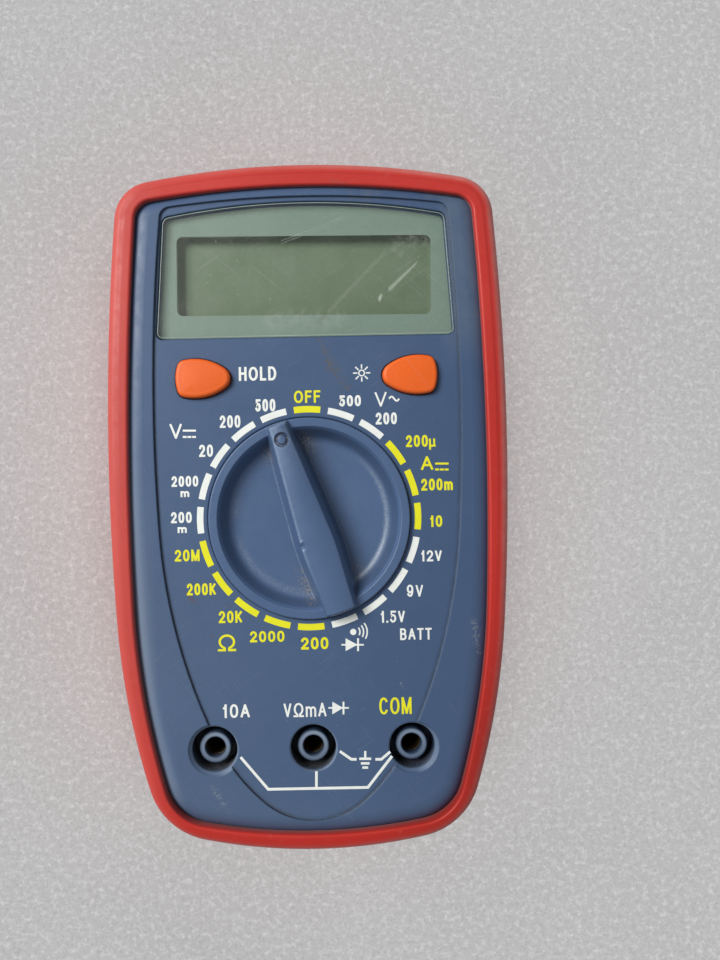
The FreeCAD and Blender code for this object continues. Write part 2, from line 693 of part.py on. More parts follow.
def add_jack_sockets(front):
    root = "z_plate_under + root_in"
    s = bound_circles(front, "barrel_circles", root, JACK_CIRCLES, "jack_barrel_r")
    pad(front, s, "barrels", root + " - jack_barrel_z", down=True)
    hole_r, face = dim("jack_hole_r"), dim("z_face")
    flare = dim("jack_flare")
    for tag, jack_x in JACKS:
        centre = [(jack_x, "jack_y")]
        # ring-shaped recess round the sleeve
        s = sketch(front, "moat_" + tag, "z_face",
                   circles([(jack_x, JACK_Y)], hole_r)
                   + circles([(jack_x, JACK_Y)], dim("jack_sleeve_r")))
        pocket(front, s, "moat_cut_" + tag, "z_face - jack_moat_z")
        s = bound_circles(front, "sleeve_top_" + tag, "z_face", centre, "jack_hole_r")
        pocket(front, s, "sleeve_top_cut_" + tag, "z_face - jack_sleeve_top")
        s = bound_circles(front, "mouth_" + tag, "z_face", centre, "jack_mouth_r")
        pocket(front, s, "mouth_cut_" + tag, "z_face - jack_seat_top + jack_mouth_over")
        s = bound_circles(front, "seat_" + tag, "jack_barrel_z", centre, "jack_seat_r")
        pocket(front, s, "seat_cut_" + tag, "jack_seat_top - jack_barrel_z", up=True)
        # bevel at the mouth of the recess
        s = sketch(front, "flare_" + tag, "0 - jack_y",
                   polygon([(hole_r - FLARE_IN, face - FLARE_DEEP - flare),
                            (hole_r + flare + FLARE_OUT, face + FLARE_UP),
                            (hole_r - FLARE_IN, face + FLARE_UP)]),
                   plane="XZ_Plane", dx=jack_x)
        turn(front, "Groove", "flare_cut_" + tag, s)


def add_dial_opening(front):
    """Round opening for the knob, and the notched ring under the plate."""
    root = "z_plate_under + root_in"
    axis = [(0.0, "dial_y")]
    s = bound_circles(front, "dial_hole", "z_face", axis, "dial_hole_r")
    pocket(front, s, "dial_hole_cut", "through_cut")
    s = bound_circles(front, "detent_ring", root, axis, "detent_ridge_r", "detent_outer_r")
    pad(front, s, "detent_ring_pad", root + " - detent_bottom_z", down=True)
    at = dim("detent_notch_at")
    centres = []
    for k in range(NOTCHES):
        ux, uy = unit(360.0 / NOTCHES * k)
        centres.append((at * ux, DIAL_Y + at * uy))
    s = sketch(front, "detent_notches", "detent_bottom_z",
               circles(centres, dim("detent_notch_r")))
    pocket(front, s, "detent_notches_cut", "z_plate_under - detent_bottom_z", up=True)


def button_outline(side, off=0.0):
    """Button outline in place, its top turned away from the middle."""
    return closed(BUTTON, off, side * dim("button_x"), dim("button_y"), -90.0 * side)


def make_front_cover():
    front = new_body("front_cover")
    shape_front_shell(front)
    add_front_bosses(front)
    add_jack_sockets(front)
    add_dial_opening(front)
    for tag, side in SIDES:
        s = sketch(front, "button_hole_" + tag, "z_face",
                   button_outline(side, dim("button_gap")))
        pocket(front, s, "button_hole_cut_" + tag, "through_cut")
    fillet(front, "dial_hole_edge", "dial_hole_edge_r",
           round_at(dim("z_panel"), dim("dial_hole_r")))
    done(front, "front_cover")


# ------------------------------------------------------------- rear cover
BACK_SLOTS = 4


def shape_rear_shell(rear):
    s = sketch(rear, "rear_outline", "z_case_back", closed(BOOT, CASE_OFF))
    pad(rear, s, "rear_block", "z_split - z_case_back")
    fillet(rear, "rear_heel", "case_heel", flat_at(dim("z_case_back")))
    s = sketch(rear, "rear_inside", "z_split", closed(BOOT, CASE_INNER_OFF))
    pocket(rear, s, "rear_hollow", "z_split - z_rear_floor")
    s = sketch(rear, "rear_lip", "z_split - rear_lip_root",
               closed(BOOT, CASE_OFF - dim("rear_lip_in"))
               + closed(BOOT, CASE_INNER_OFF + dim("rear_lip_trim")))
    pad(rear, s, "rear_lip_pad", "rear_lip_root + rear_lip_high")


def add_rear_bosses(rear):
    s = sketch(rear, "rear_bosses", "z_rear_floor - root_in",
               circles(CASE_SCREWS, dim("rear_boss_r")))
    pad(rear, s, "rear_boss_pad", "z_split - z_rear_floor + root_in")
    s = sketch(rear, "rear_holes", "z_split", circles(CASE_SCREWS, dim("screw_hole_r")))
    pocket(rear, s, "rear_holes_cut", "z_split - z_case_back + over_cut")
    s = sketch(rear, "rear_sinks", "z_case_back - over_cut",
               circles(CASE_SCREWS, dim("screw_sink_r")))
    pocket(rear, s, "rear_sinks_cut", "screw_sink_z - z_case_back + over_cut", up=True)


def add_floor_walls(rear):
    """Low walls round the battery and the beeper."""
    x0, y0 = dim("bat_x"), dim("bat_y")
    x1, y1 = x0 + dim("bat_len"), y0 + dim("bat_wide")
    gap, out = dim("bay_gap"), dim("bay_out")
    s = sketch(rear, "battery_walls", "z_rear_floor - root_in",
               rect(x0 - out, y0 - out, x1 + out, y1 + out)
               + rect(x0 - gap, y0 - gap, x1 + gap, y1 + gap))
    pad(rear, s, "battery_walls_pad", "bat_wall_high + root_in")
    centre = [(dim("beep_x"), dim("beep_y"))]
    s = sketch(rear, "beeper_ring", "z_rear_floor - root_in",
               circles(centre, dim("beep_r") + gap) + circles(centre, dim("beep_r") + out))
    pad(rear, s, "beeper_ring_pad", "beep_wall_high + root_in")


def cut_back_recesses(rear):
    """Shallow label recess and slots in the outside of the back."""
    half_w = dim("label_w") / 2 + dim("label_gap")
    half_l = dim("label_l") / 2 + dim("label_gap")
    s = sketch(rear, "label_recess", "z_case_back - over_cut",
               rect(-half_w, dim("label_y") - half_l, half_w, dim("label_y") + half_l))
    pocket(rear, s, "label_recess_cut", "over_cut + label_thick + label_sink", up=True)
    half_w = dim("slot_wide") / 2
    for k in range(BACK_SLOTS):
        y = dim("slot_y") + dim("slot_pitch") * k
        s = sketch(rear, "back_slot_%d" % k, "z_case_back - over_cut",
                   rect(-half_w, y, half_w, y + dim("slot_long")))
        pocket(rear, s, "back_slot_cut_%d" % k, "over_cut + slot_deep", up=True)


def make_rear_cover():
    rear = new_body("rear_cover")
    shape_rear_shell(rear)
    add_rear_bosses(rear)
    add_floor_walls(rear)
    cut_back_recesses(rear)
    done(rear, "rear_cover")


# ---------------------------------------------------------- display parts
# Sizes are X, Y, Z.
LCD_FRONT_SIZE = (51.2, 21.6, 1.1)
LCD_REAR_SIZE = (51.2, 18.4, 1.25)
LCD_FRONT_Z, LCD_REAR_Z = 26.2, 25.0
HOLDER_SIZE = (52.8, 23.8, 4.9)
HOLDER_ROOM_SIZE = (LCD_FRONT_SIZE[0] + 0.2, LCD_FRONT_SIZE[1] + 0.2, 4.85)
HOLDER_VIEW_SIZE = (50.0, 17.2, 4.0)
HOLDER_VIEW_Z = 26.0
BACKLIGHT_CORNER = (-25.4, "lcd_y - 7.4", "board_top + 0.2")
BACKLIGHT_SIZE = (48.6, 18.0, 1.2)
LED_X, LED_Y, LED_PITCH = 23.5, -4.0, 4.0      # Y from the display's centre
LED_SIZE = (1.6, 2.8, 1.1)
STRIP_CORNER = (-24.8, "lcd_y - 10.6", "board_top")
STRIP_SIZE = (49.6, 2.4, 2.65)


def make_display():
    window = new_body("display_window")
    s = sketch(window, "display_window_outline", "window_under", closed(WINDOW, cy=DIAL_Y))
    pad(window, s, "display_window_plate", "window_thick")
    fillet(window, "display_window_bevel", "window_bevel",
           flat_at(dim("window_under") + dim("window_thick")), chamfer=True)
    done(window, "display_window")

    # the two glasses share their upper edge
    rear_y = LCD_FRONT_SIZE[1] / 2 - LCD_REAR_SIZE[1]
    done(fuse("lcd_panel",
              mid_box("lcd_glass_front", (0, "lcd_y", LCD_FRONT_Z), LCD_FRONT_SIZE),
              box("lcd_glass_rear",
                  (-LCD_REAR_SIZE[0] / 2, "lcd_y + (%s)" % rear_y, LCD_REAR_Z),
                  LCD_REAR_SIZE)), "lcd_panel")
    done(cut("lcd_holder",
             mid_box("holder_block", (0, "lcd_y", "board_top"), HOLDER_SIZE),
             mid_box("holder_room", (0, "lcd_y", "board_top - over_cut"), HOLDER_ROOM_SIZE),
             mid_box("holder_view", (0, "lcd_y", HOLDER_VIEW_Z), HOLDER_VIEW_SIZE)),
         "lcd_holder")
    done(box("backlight_panel", BACKLIGHT_CORNER, BACKLIGHT_SIZE), "backlight_panel")
    leds = [box("led_%d" % k, (LED_X, "lcd_y + (%s)" % (LED_Y + LED_PITCH * k), "board_top"),
                LED_SIZE) for k in range(3)]
    done(group("backlight_leds", leds), "backlight_leds")
    done(box("lcd_contact_strip", STRIP_CORNER, STRIP_SIZE), "lcd_contact_strip")


# ---------------------------------------------------------------- buttons
def make_button(name, side):
    button = new_body(name)
    s = sketch(button, name + "_outline", "button_flange_z", button_outline(side))
    pad(button, s, name + "_cap", "button_top - button_flange_z")
    fillet(button, name + "_crown", "button_edge", flat_at(dim("button_top")))
    s = sketch(button, name + "_flange", "button_flange_z",
               button_outline(side, dim("button_flange_out")))
    pad(button, s, name + "_flange_pad", "button_flange_top - button_flange_z")
    done(button, name)


def make_switch(name, side):
    x = "%d * button_x" % side
    done(cut(name + "_body",
             mid_box(name + "_block", (x, "button_y", "board_top"),
                     ("switch_side", "switch_side", "switch_high")),
             cyl(name + "_well", (x, "button_y", "plunger_hole_z"), "plunger_hole_r",
                 "plunger_hole_len")), name + "_body")
    done(cyl(name + "_plunger", (x, "button_y", "plunger_bottom"), "plunger_r",
             "plunger_top - plunger_bottom"), name + "_plunger")


# ------------------------------------------------------------------- dial
# Finger bar at its crest: place along the pointer, half width.  The pointer
# end comes first, the tail last.
BAR = [(21.3, 1.38), (19.2, 1.45), (9.6, 2.15), (0.0, 2.8),
       (-5.7, 3.2), (-12.0, 2.9), (-19.2, 2.6), (-21.3, 2.52)]
BAR_END_FROM = 15.0       # beyond this the bar flares a little less
BAR_END_SHARE = 0.95      # share of the flare there
POINTER_ANGLE = dim("pointer_deg") + 90.0


def bar_curves(flare):
    """Finger bar seen from the front, widened by flare on each side."""
    def side_points(side):
        points = []
        for along, half in BAR:
            share = 1.0 if abs(along) < BAR_END_FROM else BAR_END_SHARE
            points.append(turned(along, side * (half + flare * share), POINTER_ANGLE))
        return points
    first, second = side_points(1), side_points(-1)
    splines = []
    for points in (first, second):
        spline = Part.BSplineCurve()
        spline.interpolate(points)
        splines.append(spline)
    return [splines[0], Part.LineSegment(first[-1], second[-1]),
            splines[1], Part.LineSegment(second[0], first[0])]


def make_knob():
    knob = new_body("dial_knob")
    knob.Placement = Plc(Vec(0, DIAL_Y, 0), Rot())
    bind(knob, ".Placement.Base.y", "dial_y")
    s = sketch(knob, "knob_profile", "0", polygon([
        (0, dim("drum_bottom")), (dim("drum_r"), dim("drum_bottom")),
        (dim("drum_r"), dim("drum_top")), (dim("knob_r"), dim("drum_top")),
        (dim("knob_r"), dim("rim_top")), (dim("rim_inner_r"), dim("rim_top")),
        (dim("scoop_r"), dim("scoop_z")), (0, dim("scoop_z"))]), plane="XZ_Plane")
    turn(knob, "Revolution", "knob_turned", s)

    base = sketch(knob, "bar_base", "bar_base_z", bar_curves(dim("bar_flare")))
    crest = sketch(knob, "bar_crest", "bar_top", bar_curves(0.0))
    doc.recompute()
    loft = knob.newObject("PartDesign::AdditiveLoft", "bar_loft")
    loft.Profile = base
    loft.Sections = [crest]
    loft.Ruled = True
    knob.Tip = loft
    doc.recompute()
    # bring the bar's ends flush with the rim
    s = bound_circles(knob, "knob_trim", "drum_top", [(0.0, 0.0)], "knob_r", "trim_outer_r")
    pocket(knob, s, "knob_trim_cut", "trim_high", up=True)
    fillet(knob, "bar_crest_edge", "bar_edge", flat_at(dim("bar_top")))
    fillet(knob, "rim_edge", "rim_chamfer", round_at(dim("rim_top")))
    fillet(knob, "scoop_hollow", "scoop_fillet", round_at(dim("scoop_z"), dim("scoop_r")))

    # marker: a ring groove round a small dot, near the pointer's end
    ux, uy = unit(POINTER_ANGLE)
    centre = [(dim("marker_at") * ux, dim("marker_at") * uy)]
    s = sketch(knob, "marker_ring", "bar_top",
               circles(centre, dim("marker_outer_r")) + circles(centre, dim("marker_dot_r")))
    pocket(knob, s, "marker_ring_cut", "marker_depth")
    # radial bores for the detent balls and their springs
    for tag, side in reversed(SIDES):
        s = bound_circles(knob, "ball_bore_" + tag, "%d * ball_bore_from" % side,
                          [(0.0, "ball_z")], "ball_bore_r", plane="YZ_Plane")
        pocket(knob, s, "ball_bore_cut_" + tag, "ball_bore_len", up=side > 0)
    s = bound_circles(knob, "pivot_circle", "drum_bottom", [(0.0, 0.0)], "pivot_r")
    pad(knob, s, "pivot_pin", "pivot_len", down=True)
    doc.recompute()
    done(knob, "dial_knob")


# Wiper strip's middle line: distance from the dial axis, height
WIPER_LINE = [(6.0, 23.9), (6.7, 23.6), (7.8, 24.22), (13.2, 24.22), (14.3, 23.6), (15.0, 23.9)]
WIPER_HALF_THICK = 0.08
WIPER_WIDE = 1.8
WIPERS = 3


def make_wipers():
    wipers = []
    strip = ([(r, z - WIPER_HALF_THICK) for r, z in WIPER_LINE]
             + [(r, z + WIPER_HALF_THICK) for r, z in reversed(WIPER_LINE)])
    for k in range(WIPERS):
        body = new_body("wiper_%d" % k)
        body.Placement = Plc(Vec(0, DIAL_Y, 0), Rot(Vec(0, 0, 1), 90.0 + 360.0 / WIPERS * k))
        s = sketch(body, "wiper_profile_%d" % k, -WIPER_WIDE / 2, polygon(strip),
                   plane="XZ_Plane")
        pad(body, s, "wiper_strip_%d" % k, WIPER_WIDE)
        wipers.append(body)
    done(group("wiper_contacts", wipers), "wiper_contacts")


def make_detent(tag, side):
    """Detent ball and the spring behind it."""
    ball = doc.addObject("Part::Sphere", "ball_" + tag)
    bind(ball, "Radius", "ball_r")
    bind_all(ball, PLACE, ("%d * ball_at" % side, "dial_y", "ball_z"))
    done(ball, "detent_ball_" + tag)
    coil_r, wire_r = dim("spring_coil_r"), dim("spring_wire_r")
    helix = Part.makeHelix(dim("spring_pitch"), dim("spring_len"), coil_r)
    section = Part.Wire([Part.Circle(Vec(coil_r, 0, 0), Vec(0, 1, 0), wire_r).toShape()])
    spring = doc.addObject("Part::Feature", "detent_spring_" + tag)
    spring.Shape = Part.Wire(helix.Edges).makePipeShell([section], True, True)
    start_x = dim("ball_bore_from") + wire_r + dim("spring_gap")
    spring.Placement = Plc(Vec(side * start_x, DIAL_Y, dim("ball_z")),
                           Rot(Vec(0, 1, 0), 90.0 * side))
    done(spring, "detent_spring_" + tag)


# ---------------------------------------------------------- circuit board
def make_board():
    board = new_body("circuit_board")
    s = sketch(board, "board_outline", "board_top", closed(BOOT, -dim("board_inset")))
    pad(board, s, "board_plate", "board_thick", down=True)
    s = bound_circles(board, "board_notches", "board_top", JACK_CIRCLES, "jack_seat_r")
    add_fixed(s, circles(CASE_SCREWS, dim("boss_r") + dim("boss_gap"))
              + circles(BOARD_SCREWS, dim("board_hole_r"))
              + circles([(0.0, DIAL_Y)], dim("pivot_hole_r")))
    pocket(board, s, "board_holes_cut", "board_thick + over_cut")
    done(board, "circuit_board")


def make_jack_contact(tag, jack_x):
    contact = new_body("jack_contact_" + tag)
    centre = [(jack_x, "jack_y")]
    s = bound_circles(contact, "tube_" + tag, "jack_tube_bottom", centre, "jack_tube_r")
    pad(contact, s, "tube_pad_" + tag, "jack_tube_top - jack_tube_bottom")
    s = bound_circles(contact, "collar_" + tag, "board_top", centre, "jack_collar_r")
    pad(contact, s, "collar_pad_" + tag, "jack_collar_high")
    s = bound_circles(contact, "bore_" + tag, "jack_tube_top", centre, "jack_bore_r")
    pocket(contact, s, "bore_cut_" + tag, "jack_tube_top - jack_tube_bottom + over_cut")
    done(contact, "jack_contact_" + tag)


def make_shunt():
    """U-shaped wire hanging under the board."""
    left, right, low = -13.0, -5.0, 16.5
    points = [(left, BOARD_UNDER), (left, low), (right, low), (right, BOARD_UNDER)]
    done(wire_run("shunt_wire", -39.0, points, r=0.8, bend=1.8), "shunt_wire")


# ------------------------------------------------------------------- fuse
CLIP_X = 7.4              # clip middles from the fuse's middle
CLIP_LEN = 4.0            # along the fuse
CLIP_WIDE = 6.2           # over both arms
CLIP_THICK = 0.4
CLIP_ARM_Z, CLIP_ARM_HIGH = 15.6, 6.3


def make_fuse():
    inner_x = "fuse_x - fuse_half + fuse_glass_inset"
    inner_len = "2 * fuse_half - 2 * fuse_glass_inset"
    done(cut("fuse_glass",
             cyl("glass_rod", (inner_x, "fuse_y", "fuse_z"), "fuse_glass_r", inner_len, True),
             cyl("glass_bore", ("fuse_x - fuse_half", "fuse_y", "fuse_z"), "fuse_glass_in",
                 "2 * fuse_half", True)), "fuse_glass")
    caps = []
    for tag, rod_x, bore_x in (
            ("left", "fuse_x - fuse_half", "fuse_x - fuse_half + fuse_cap_wall"),
            ("right", "fuse_x + fuse_half - fuse_cap_len",
             "fuse_x + fuse_half - fuse_cap_wall - fuse_cap_len")):
        caps.append(cut("fuse_cap_" + tag,
                        cyl("cap_rod_" + tag, (rod_x, "fuse_y", "fuse_z"),
                            "fuse_cap_r", "fuse_cap_len", True),
                        cyl("cap_bore_" + tag, (bore_x, "fuse_y", "fuse_z"),
                            "fuse_glass_r + fuse_cap_gap", "fuse_cap_len", True)))
    done(group("fuse_end_caps", caps), "fuse_end_caps")
    done(cyl("fuse_element", (inner_x, "fuse_y", "fuse_z"), "fuse_wire_r", inner_len, True),
         "fuse_element")


def make_clips():
    clips = []
    arm_size = (CLIP_LEN, CLIP_THICK, CLIP_ARM_HIGH)
    near_y = "fuse_y - %s" % (CLIP_WIDE / 2)
    far_y = "fuse_y + %s" % (CLIP_WIDE / 2 - CLIP_THICK)
    for tag, side in SIDES:
        x = "fuse_x + (%s)" % (side * CLIP_X - CLIP_LEN / 2)
        clips.append(fuse("clip_" + tag,
                          box("clip_base_" + tag, (x, near_y, "board_under - %s" % CLIP_THICK),
                              (CLIP_LEN, CLIP_WIDE, CLIP_THICK)),
                          box("clip_arm_a_" + tag, (x, near_y, CLIP_ARM_Z), arm_size),
                          box("clip_arm_b_" + tag, (x, far_y, CLIP_ARM_Z), arm_size)))
    done(group("fuse_clips", clips), "fuse_clips")


# ---------------------------------------------------------------- battery
STUD_OFF = 6.35           # studs from the middle of the battery's width
STUD_LEN = 2.6
# stud, its well in the snap, side toward -Y or +Y, radius
STUDS = (("plus", "a", -1, 2.8), ("minus", "b", 1, 3.5))
WELL_GAP = 0.1
WELL_X = 0.2              # start of the wells beyond the battery
SNAP_X = 0.7              # start of the snap beyond the battery
SNAP_SIZE = (3.4, 24.0, 12.0)
LEAD_START_X, LEAD_X, LEAD_Z = 24.6, 29.0, 12.0
LONG_EDGE_MIN = 40.0      # only the battery's long edges are longer


def make_battery():
    block = box("battery_block", ("bat_x", "bat_y", "bat_z"), ("bat_len", "bat_wide", "bat_high"))
    doc.recompute()
    r = dim("bat_round")
    rounded = doc.addObject("Part::Fillet", "battery_body")
    rounded.Base = block
    rounded.Edges = [(i + 1, r, r) for i, edge in enumerate(block.Shape.Edges)
                     if edge.BoundBox.XLength > LONG_EDGE_MIN]
    done(rounded, "battery_body")

    studs, wells = [], []
    for stud, well, side, r in STUDS:
        y = "bat_mid_y + (%s)" % (side * STUD_OFF)
        studs.append(cyl("stud_" + stud, ("bat_end_x", y, "bat_mid_z"), r, STUD_LEN, True))
        wells.append(cyl("snap_well_" + well, ("bat_end_x + %s" % WELL_X, y, "bat_mid_z"),
                         r + WELL_GAP, STUD_LEN, True))
    done(group("battery_terminals", studs), "battery_terminals")
    snap = box("snap_block", ("bat_end_x + %s" % SNAP_X, "bat_mid_y - %s" % (SNAP_SIZE[1] / 2),
                              "bat_mid_z - %s" % (SNAP_SIZE[2] / 2)), SNAP_SIZE)
    done(cut("battery_snap", snap, *wells), "battery_snap")
    points = [(LEAD_START_X, LEAD_Z), (LEAD_X, LEAD_Z), (LEAD_X, BOARD_UNDER)]
    for colour, y in (("red", 31.0), ("black", 43.0)):
        name = "battery_lead_" + colour
        done(wire_run(name, y, points, r=0.6, bend=2.0), name)


# -------------------------------------------------- parts under the board
BLOB_Y, BLOB_R, BLOB_HIGH = 11.5, 7.0, 1.9
BLOB_OFF_SIZE = (18.0, 18.0, 4.0)
# name, x, y, radius, height
CAPACITORS = (("cap_a", 15.0, 8.0, 2.5, 7), ("cap_b", 21.5, 6.0, 2.5, 7),
              ("cap_c", -22.0, 10.0, 2.0, 5))
RESISTORS = 6
RES_X, RES_Y, RES_PITCH = 12.0, -10.0, 2.6     # middle of the row's first one, spacing
RES_DROP = 1.35                                # axis below the board
RES_BODY_R, RES_BODY_LEN = 0.95, 6.0
RES_LEAD_R, RES_LEAD_LEN = 0.3, 11.6
RES_LEG_R, RES_LEG_X = 0.2, 5.4                # legs from the resistor's middle
TRIM_X, TRIM_Y = -11.0, 13.0
TRIM_SIZE = (6.0, 6.0, 3.2)
TRIM_DISC_R, TRIM_DISC_HIGH, TRIM_DISC_DROP = 2.2, 1.0, 3.8
TRIM_SLOT_SIZE, TRIM_SLOT_DROP = (3.4, 0.5, 0.9), 4.2


def make_blob():
    """Flat dome hanging from the board's rear side."""
    blob = doc.addObject("Part::Ellipsoid", "blob_round")
    blob.Radius1 = BLOB_HIGH
    blob.Radius2 = BLOB_R
    blob.Radius3 = BLOB_R
    bind(blob, ".Placement.Base.y", BLOB_Y)
    bind(blob, ".Placement.Base.z", "board_under")
    front_half = mid_box("blob_off", (0, BLOB_Y, "board_under"), BLOB_OFF_SIZE)
    done(cut("chip_blob", blob, front_half), "chip_blob")


def make_resistor(k):
    y, z = RES_Y - RES_PITCH * k, "board_under - %s" % RES_DROP
    return fuse("resistor_%d" % k,
                cyl("res_body_%d" % k, (RES_X - RES_BODY_LEN / 2, y, z), RES_BODY_R,
                    RES_BODY_LEN, True),
                cyl("res_lead_%d" % k, (RES_X - RES_LEAD_LEN / 2, y, z), RES_LEAD_R,
                    RES_LEAD_LEN, True),
                cyl("res_leg_a_%d" % k, (RES_X - RES_LEG_X, y, z), RES_LEG_R, RES_DROP),
                cyl("res_leg_b_%d" % k, (RES_X + RES_LEG_X, y, z), RES_LEG_R, RES_DROP))


def make_board_parts():
    make_blob()
    done(group("capacitors", [cyl(name, (x, y, "board_under - %s" % high), r, high)
                              for name, x, y, r, high in CAPACITORS]), "capacitors")
    done(group("resistors", [make_resistor(k) for k in range(RESISTORS)]), "resistors")

    def below(drop):
        return TRIM_X, TRIM_Y, "board_under - %s" % drop
    trimmer = fuse("trimmer_body",
                   mid_box("trimmer_block", below(TRIM_SIZE[2]), TRIM_SIZE),
                   cyl("trimmer_disc", below(TRIM_DISC_DROP), TRIM_DISC_R, TRIM_DISC_HIGH))
    slot = mid_box("trimmer_slot", below(TRIM_SLOT_DROP), TRIM_SLOT_SIZE)
    done(cut("trimmer_pot", trimmer, slot), "trimmer_pot")


# ----------------------------------------------------------------- beeper
def make_beeper():
    done(fuse("buzzer_disc",
              cyl("beeper_brass", ("beep_x", "beep_y", "z_rear_floor"), "beep_r", "beep_layer"),
              cyl("beeper_ceramic", ("beep_x", "beep_y", "z_rear_floor + beep_ceramic_up"),
                  "beep_ceramic_r", "beep_layer")), "buzzer_disc")
    disc_top = dim("z_rear_floor") + dim("beep_ceramic_up") + dim("beep_layer")
    turn_z, board_x = 12.0, -23.0
    leads = []
    for tag, x, y in (("a", -19.0, -14.0), ("b", -16.0, -17.5)):
        points = [(x, disc_top), (x, turn_z), (board_x, turn_z), (board_x, BOARD_UNDER)]
        leads.append(wire_run("beeper_lead_" + tag, y, points, r=0.4, bend=1.2))
    done(group("buzzer_leads", leads), "buzzer_leads")


# ----------------------------------------------------------------- screws
def cross_screw(kind, k, place, head_top, head_r, head_high, shank_r, shank_len, slot):
    """Screw with its head toward the back; slot is length, width, depth."""
    x, y = place
    length, width, depth = slot
    head_z = "%s - %s" % (head_top, head_high)
    blank = fuse("%s_screw_blank_%d" % (kind, k),
                 cyl("%s_head_%d" % (kind, k), (x, y, head_z), head_r, head_high),
                 cyl("%s_shank_%d" % (kind, k), (x, y, head_top + " - shank_in"), shank_r,
                     shank_len))
    slot_at = (x, y, head_z + " - over_cut")
    slot_high = "%s + over_cut" % depth
    return cut("%s_screw_%d" % (kind, k), blank,
               mid_box("%s_slot_a_%d" % (kind, k), slot_at, (length, width, slot_high)),
               mid_box("%s_slot_b_%d" % (kind, k), slot_at, (width, length, slot_high)))


def make_screws():
    done(group("case_screws", [
        cross_screw("case", k, place, head_top="screw_sink_z", head_r="screw_head_r",
                    head_high="screw_head_high", shank_r="screw_shank_r",
                    shank_len="screw_tip_z - screw_sink_z + shank_in", slot=(3.2, 0.7, 1.1))
        for k, place in enumerate(CASE_SCREWS)]), "case_screws")
    done(group("board_screws", [
        cross_screw("board", k, place, head_top="board_under", head_r="board_head_r",
                    head_high="board_head_high", shank_r="board_shank_r",
                    shank_len="board_shank_len", slot=(2.4, 0.6, 0.7))
        for k, place in enumerate(BOARD_SCREWS)]), "board_screws")


def make_label():
    done(mid_box("rear_label", (0, "label_y", "z_case_back + label_sink"),
                 ("label_w", "label_l", "label_thick")), "rear_label")


# ----------------------------------------------------------------- export
def export():
    doc.recompute()
    faults = []
    for o in doc.Objects:
        if "Invalid" in o.State or "Error" in o.State:
            faults.append("%s (%s): %s" % (o.Name, o.Label, o.State))
    for name, o in NODES:
        shape = o.Shape
        if shape.isNull() or not shape.isValid() or not shape.Solids or shape.Volume <= 0:
            faults.append("%s: bad shape" % name)
    if faults:
        raise SystemExit("model faults:\n" + "\n".join(faults))
    os.makedirs("parts", exist_ok=True)
    for name, o in NODES:
        o.Shape.exportStep(os.path.join("parts", name + ".step"))


make_boot()
make_front_cover()
make_rear_cover()
make_display()
for button_name, switch_name, button_side in (("hold_button", "hold_switch", -1),
                                              ("backlight_button", "backlight_switch", 1)):
    make_button(button_name, button_side)
    make_switch(switch_name, button_side)
make_knob()
make_wipers()
for detent_tag, detent_side in reversed(SIDES):
    make_detent(detent_tag, detent_side)
make_board()
for contact_tag, contact_x in JACKS:
    make_jack_contact(contact_tag, contact_x)
make_shunt()
make_fuse()
make_clips()
make_battery()
make_board_parts()
make_beeper()
make_screws()
make_label()
export()
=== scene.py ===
import bpy
import json
import math
import numpy as np
from mathutils import Vector, Matrix

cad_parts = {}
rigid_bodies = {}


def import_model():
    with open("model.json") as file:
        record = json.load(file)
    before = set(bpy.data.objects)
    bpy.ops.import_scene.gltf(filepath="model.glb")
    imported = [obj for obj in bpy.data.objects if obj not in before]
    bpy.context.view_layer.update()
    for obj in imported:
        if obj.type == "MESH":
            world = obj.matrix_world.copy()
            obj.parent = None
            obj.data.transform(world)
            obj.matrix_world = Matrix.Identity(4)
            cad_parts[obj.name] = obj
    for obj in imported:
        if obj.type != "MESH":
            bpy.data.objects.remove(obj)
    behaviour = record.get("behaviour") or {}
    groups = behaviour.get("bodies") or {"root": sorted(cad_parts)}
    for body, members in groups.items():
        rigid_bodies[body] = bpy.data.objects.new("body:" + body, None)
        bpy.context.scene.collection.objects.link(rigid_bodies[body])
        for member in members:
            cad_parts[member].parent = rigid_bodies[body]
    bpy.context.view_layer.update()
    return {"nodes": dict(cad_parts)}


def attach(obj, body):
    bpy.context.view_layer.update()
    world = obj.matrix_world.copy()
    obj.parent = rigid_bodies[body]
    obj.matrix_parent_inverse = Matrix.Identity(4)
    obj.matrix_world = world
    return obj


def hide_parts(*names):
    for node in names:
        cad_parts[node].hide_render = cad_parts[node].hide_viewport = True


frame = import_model()
MM = 0.001
NODES = frame["nodes"]
DIAL = (0.0, -2.2)


# ------------------------------------------------------------ outlines (mm)
def unit(deg):
    return math.cos(math.radians(deg)), math.sin(math.radians(deg))


K = 0.9966
BOOT_TOP = 66.03
BOOT = [("A", 167.35 * K, 10.48), ("A", 7.67 * K, 74.42), ("A", 510.76 * K, 8.88),
        ("A", 144.22 * K, 12.95), ("A", 13.88 * K, 61.32), ("C",)]
LIP_TOP = 63.74
LIP = [("A", 190.7, 8.84), ("A", 3.69, 76.61), ("A", 644.4, 6.62),
       ("A", 152.0, 13.69), ("A", 9.15, 63.92), ("C",)]
WINDOW_TOP = 61.0
WINDOW = [("A", 142.0, 10.55), ("A", 1.7, 75.65), ("L", 20.9), ("A", 1.2, 93.8), ("H",)]
BUTTON_TOP = 5.24
BUTTON = [("A", 8.0, 18.0), ("A", 1.6, 60.0), ("A", 10.0, 48.0), ("C",)]


